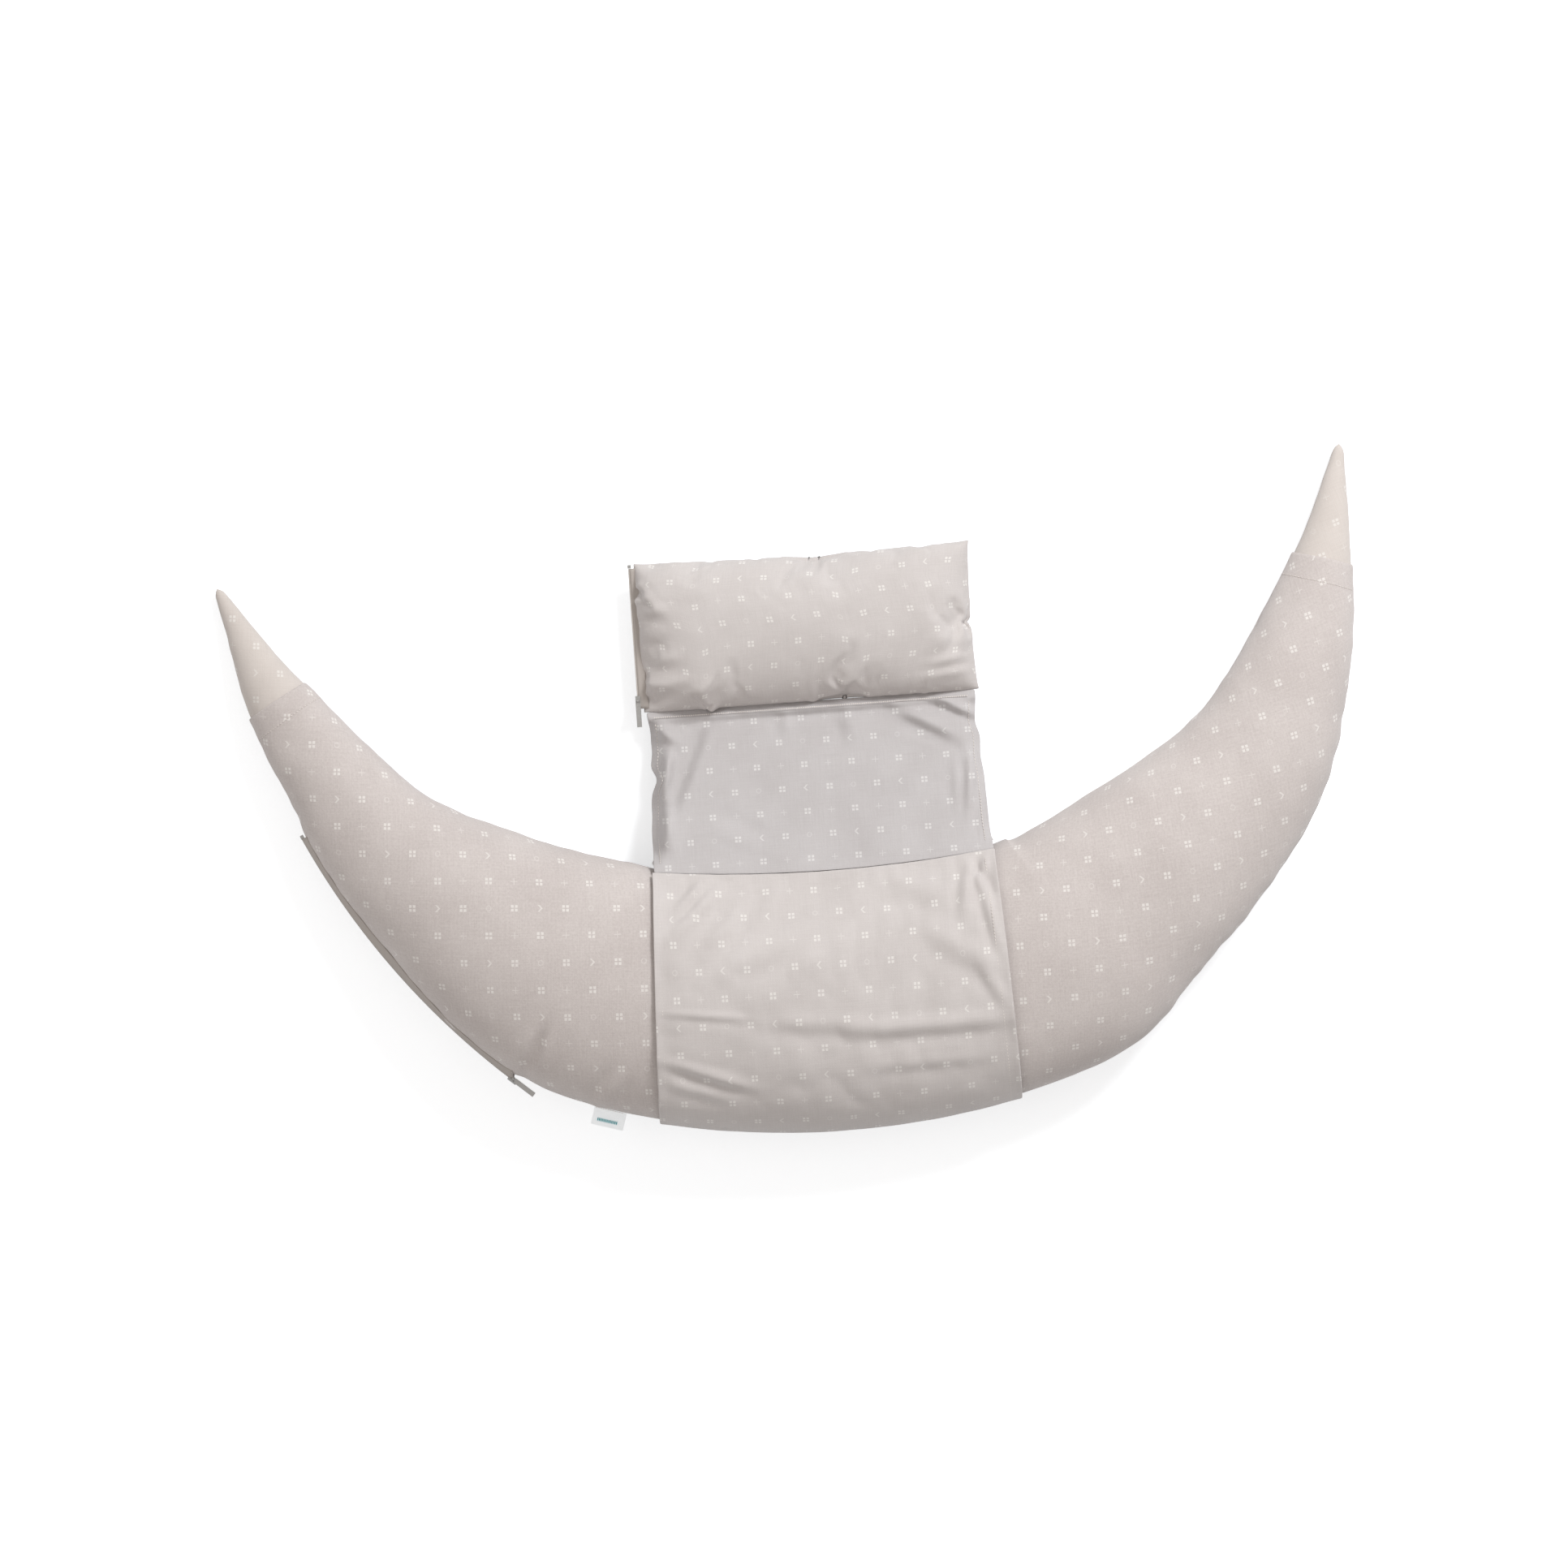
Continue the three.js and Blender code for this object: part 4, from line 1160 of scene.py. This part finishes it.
for side_name, cover, hood in (("left", left_cover, left_hood), ("right", right_cover, right_hood)):
    arm_name = side_name + "_arm"
    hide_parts(arm_name + "_cover_top", arm_name + "_cover_bottom")
    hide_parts(arm_name + "_liner", arm_name + "_filling")
    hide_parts("middle_cover_top", "middle_cover_bottom", "middle_liner", "middle_filling")
    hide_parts(side_name + "_tip_hood")
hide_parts("sleeve_front", "sleeve_under")
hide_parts("panel_front_ply")
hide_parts("panel_back_ply")
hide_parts("cushion_cover_front", "cushion_cover_back", "cushion_filling")
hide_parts("cushion_liner_front", "cushion_liner_back")

# ---- CAD nodes that stay, with their finishes ----

CAD_FINISHES = (("_coil", coil), ("_stop", zinc), ("_slider", zinc), ("_puller", zinc))
for node_name, node in frame["nodes"].items():
    for mark, material in CAD_FINISHES:
        if mark in node_name:
            node.data.materials.clear()
            node.data.materials.append(material)


def make_label():
    """A blank woven tape, sewn into the rim seam."""
    low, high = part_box("woven_label")
    centre = (low + high) / 2
    width, depth = LABEL_SIZE
    cosine, sine = math.cos(LABEL_ANGLE), math.sin(LABEL_ANGLE)
    columns, rows = 24, 16
    points = np.zeros((columns + 1, rows + 1, 3))
    cells = np.zeros((columns + 1, rows + 1, 2))
    for i in range(columns + 1):
        for j in range(rows + 1):
            across = (i / columns - 0.5) * width
            down = (j / rows - 0.5) * depth - LABEL_SHIFT
            curl = 1.2 * math.sin(math.pi * i / columns) * (j / rows)
            points[i, j] = (
                centre.x / MM + across * cosine + down * sine,
                centre.y / MM + across * sine - down * cosine,
                centre.z / MM + curl,
            )
            cells[i, j] = (across / PRINT_PITCH[0], down / PRINT_PITCH[1])
    piece = surface("blank_label", points, cells)
    thicken(piece, 0.7)
    refine(piece)
    return piece, points


# The label glows faintly blue-white through emission: painted light that lifts it out of the crescent's
# shade.
satin_shader = satin.node_tree.nodes["Principled BSDF"]
satin_shader.inputs["Emission Color"].default_value = (0.9, 0.95, 1, 1)
satin_shader.inputs["Emission Strength"].default_value = 0.3
label, label_points = make_label()
label_bar = stitch_row("label_bar", label_points[4:21, 11], 1.2, 1.6, 2.0)
label_end_stitches = stitch_row("label_end_stitches", label_points[1:24, 2], 1.2, 2.4)
paint(label, satin)
paint(label_bar, teal_thread)
paint(label_end_stitches, thread)
for piece in (label, label_bar, label_end_stitches):
    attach(piece, "label")
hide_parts("woven_label")

# ---- floor, light and camera ----

# The floor's paper, and the extra light that only the camera sees on it.
PAPER = (0.76, 0.79, 0.82, 1)
PAPER_GLOW = 0.55
# Where both lamps point.
AIM = (0, 0.15, 0)


def make_floor():
    mesh = bpy.data.meshes.new("floor")
    bm = bmesh.new()
    bmesh.ops.create_grid(bm, x_segments=1, y_segments=1, size=6)
    bm.to_mesh(mesh)
    bm.free()
    floor = bpy.data.objects.new("floor", mesh)
    bpy.context.collection.objects.link(floor)
    paper = bpy.data.materials.new("white_paper")
    paper.use_nodes = True
    shader = paper.node_tree.nodes["Principled BSDF"]
    hand = Tree(paper.node_tree)
    shader.inputs["Base Color"].default_value = PAPER
    shader.inputs["Emission Color"].default_value = (1, 1, 1, 1)
    seen = hand.node("ShaderNodeLightPath").outputs["Is Camera Ray"]
    hand.wire(hand.math("MULTIPLY", seen, PAPER_GLOW), shader.inputs["Emission Strength"])
    shader.inputs["Roughness"].default_value = 0.9
    shader.inputs["Specular IOR Level"].default_value = 0.1
    floor.data.materials.append(paper)


def area_light(name, place, size, power, colour):
    data = bpy.data.lights.new(name, "AREA")
    data.shape = "DISK"
    data.size = size
    data.energy = power
    data.color = colour
    lamp = bpy.data.objects.new(name, data)
    lamp.location = place
    lamp.rotation_mode = "QUATERNION"
    lamp.rotation_quaternion = (Vector(AIM) - Vector(place)).to_track_quat("-Z", "Y")
    bpy.context.collection.objects.link(lamp)


make_floor()
area_light("key_light", (2.5, 3.45, 3.75), 1.68, 216, (0.99, 0.995, 1.0))
area_light("fill_light", (-2.2, 0.2, 2.6), 2.6, 12, (1.0, 0.97, 0.94))

scene = bpy.context.scene
world = bpy.data.worlds.new("studio")
world.use_nodes = True
sky = world.node_tree.nodes["Background"]
sky.inputs["Color"].default_value = (1, 0.955, 0.92, 1)
sky.inputs["Strength"].default_value = 0.53
scene.world = world
scene.view_settings.view_transform = "Standard"

VIEW_CENTRE = (-0.0338, 0.2137)
VIEW_ROLL = math.radians(-4.1)
VIEW_HEIGHT = 6.64
FOCAL_LENGTH = 150
lens = bpy.data.cameras.new("camera")
lens.lens = FOCAL_LENGTH
camera = bpy.data.objects.new("camera", lens)
camera.location = (*VIEW_CENTRE, VIEW_HEIGHT)
camera.rotation_euler = (0, 0, VIEW_ROLL)
bpy.context.collection.objects.link(camera)
scene.camera = camera
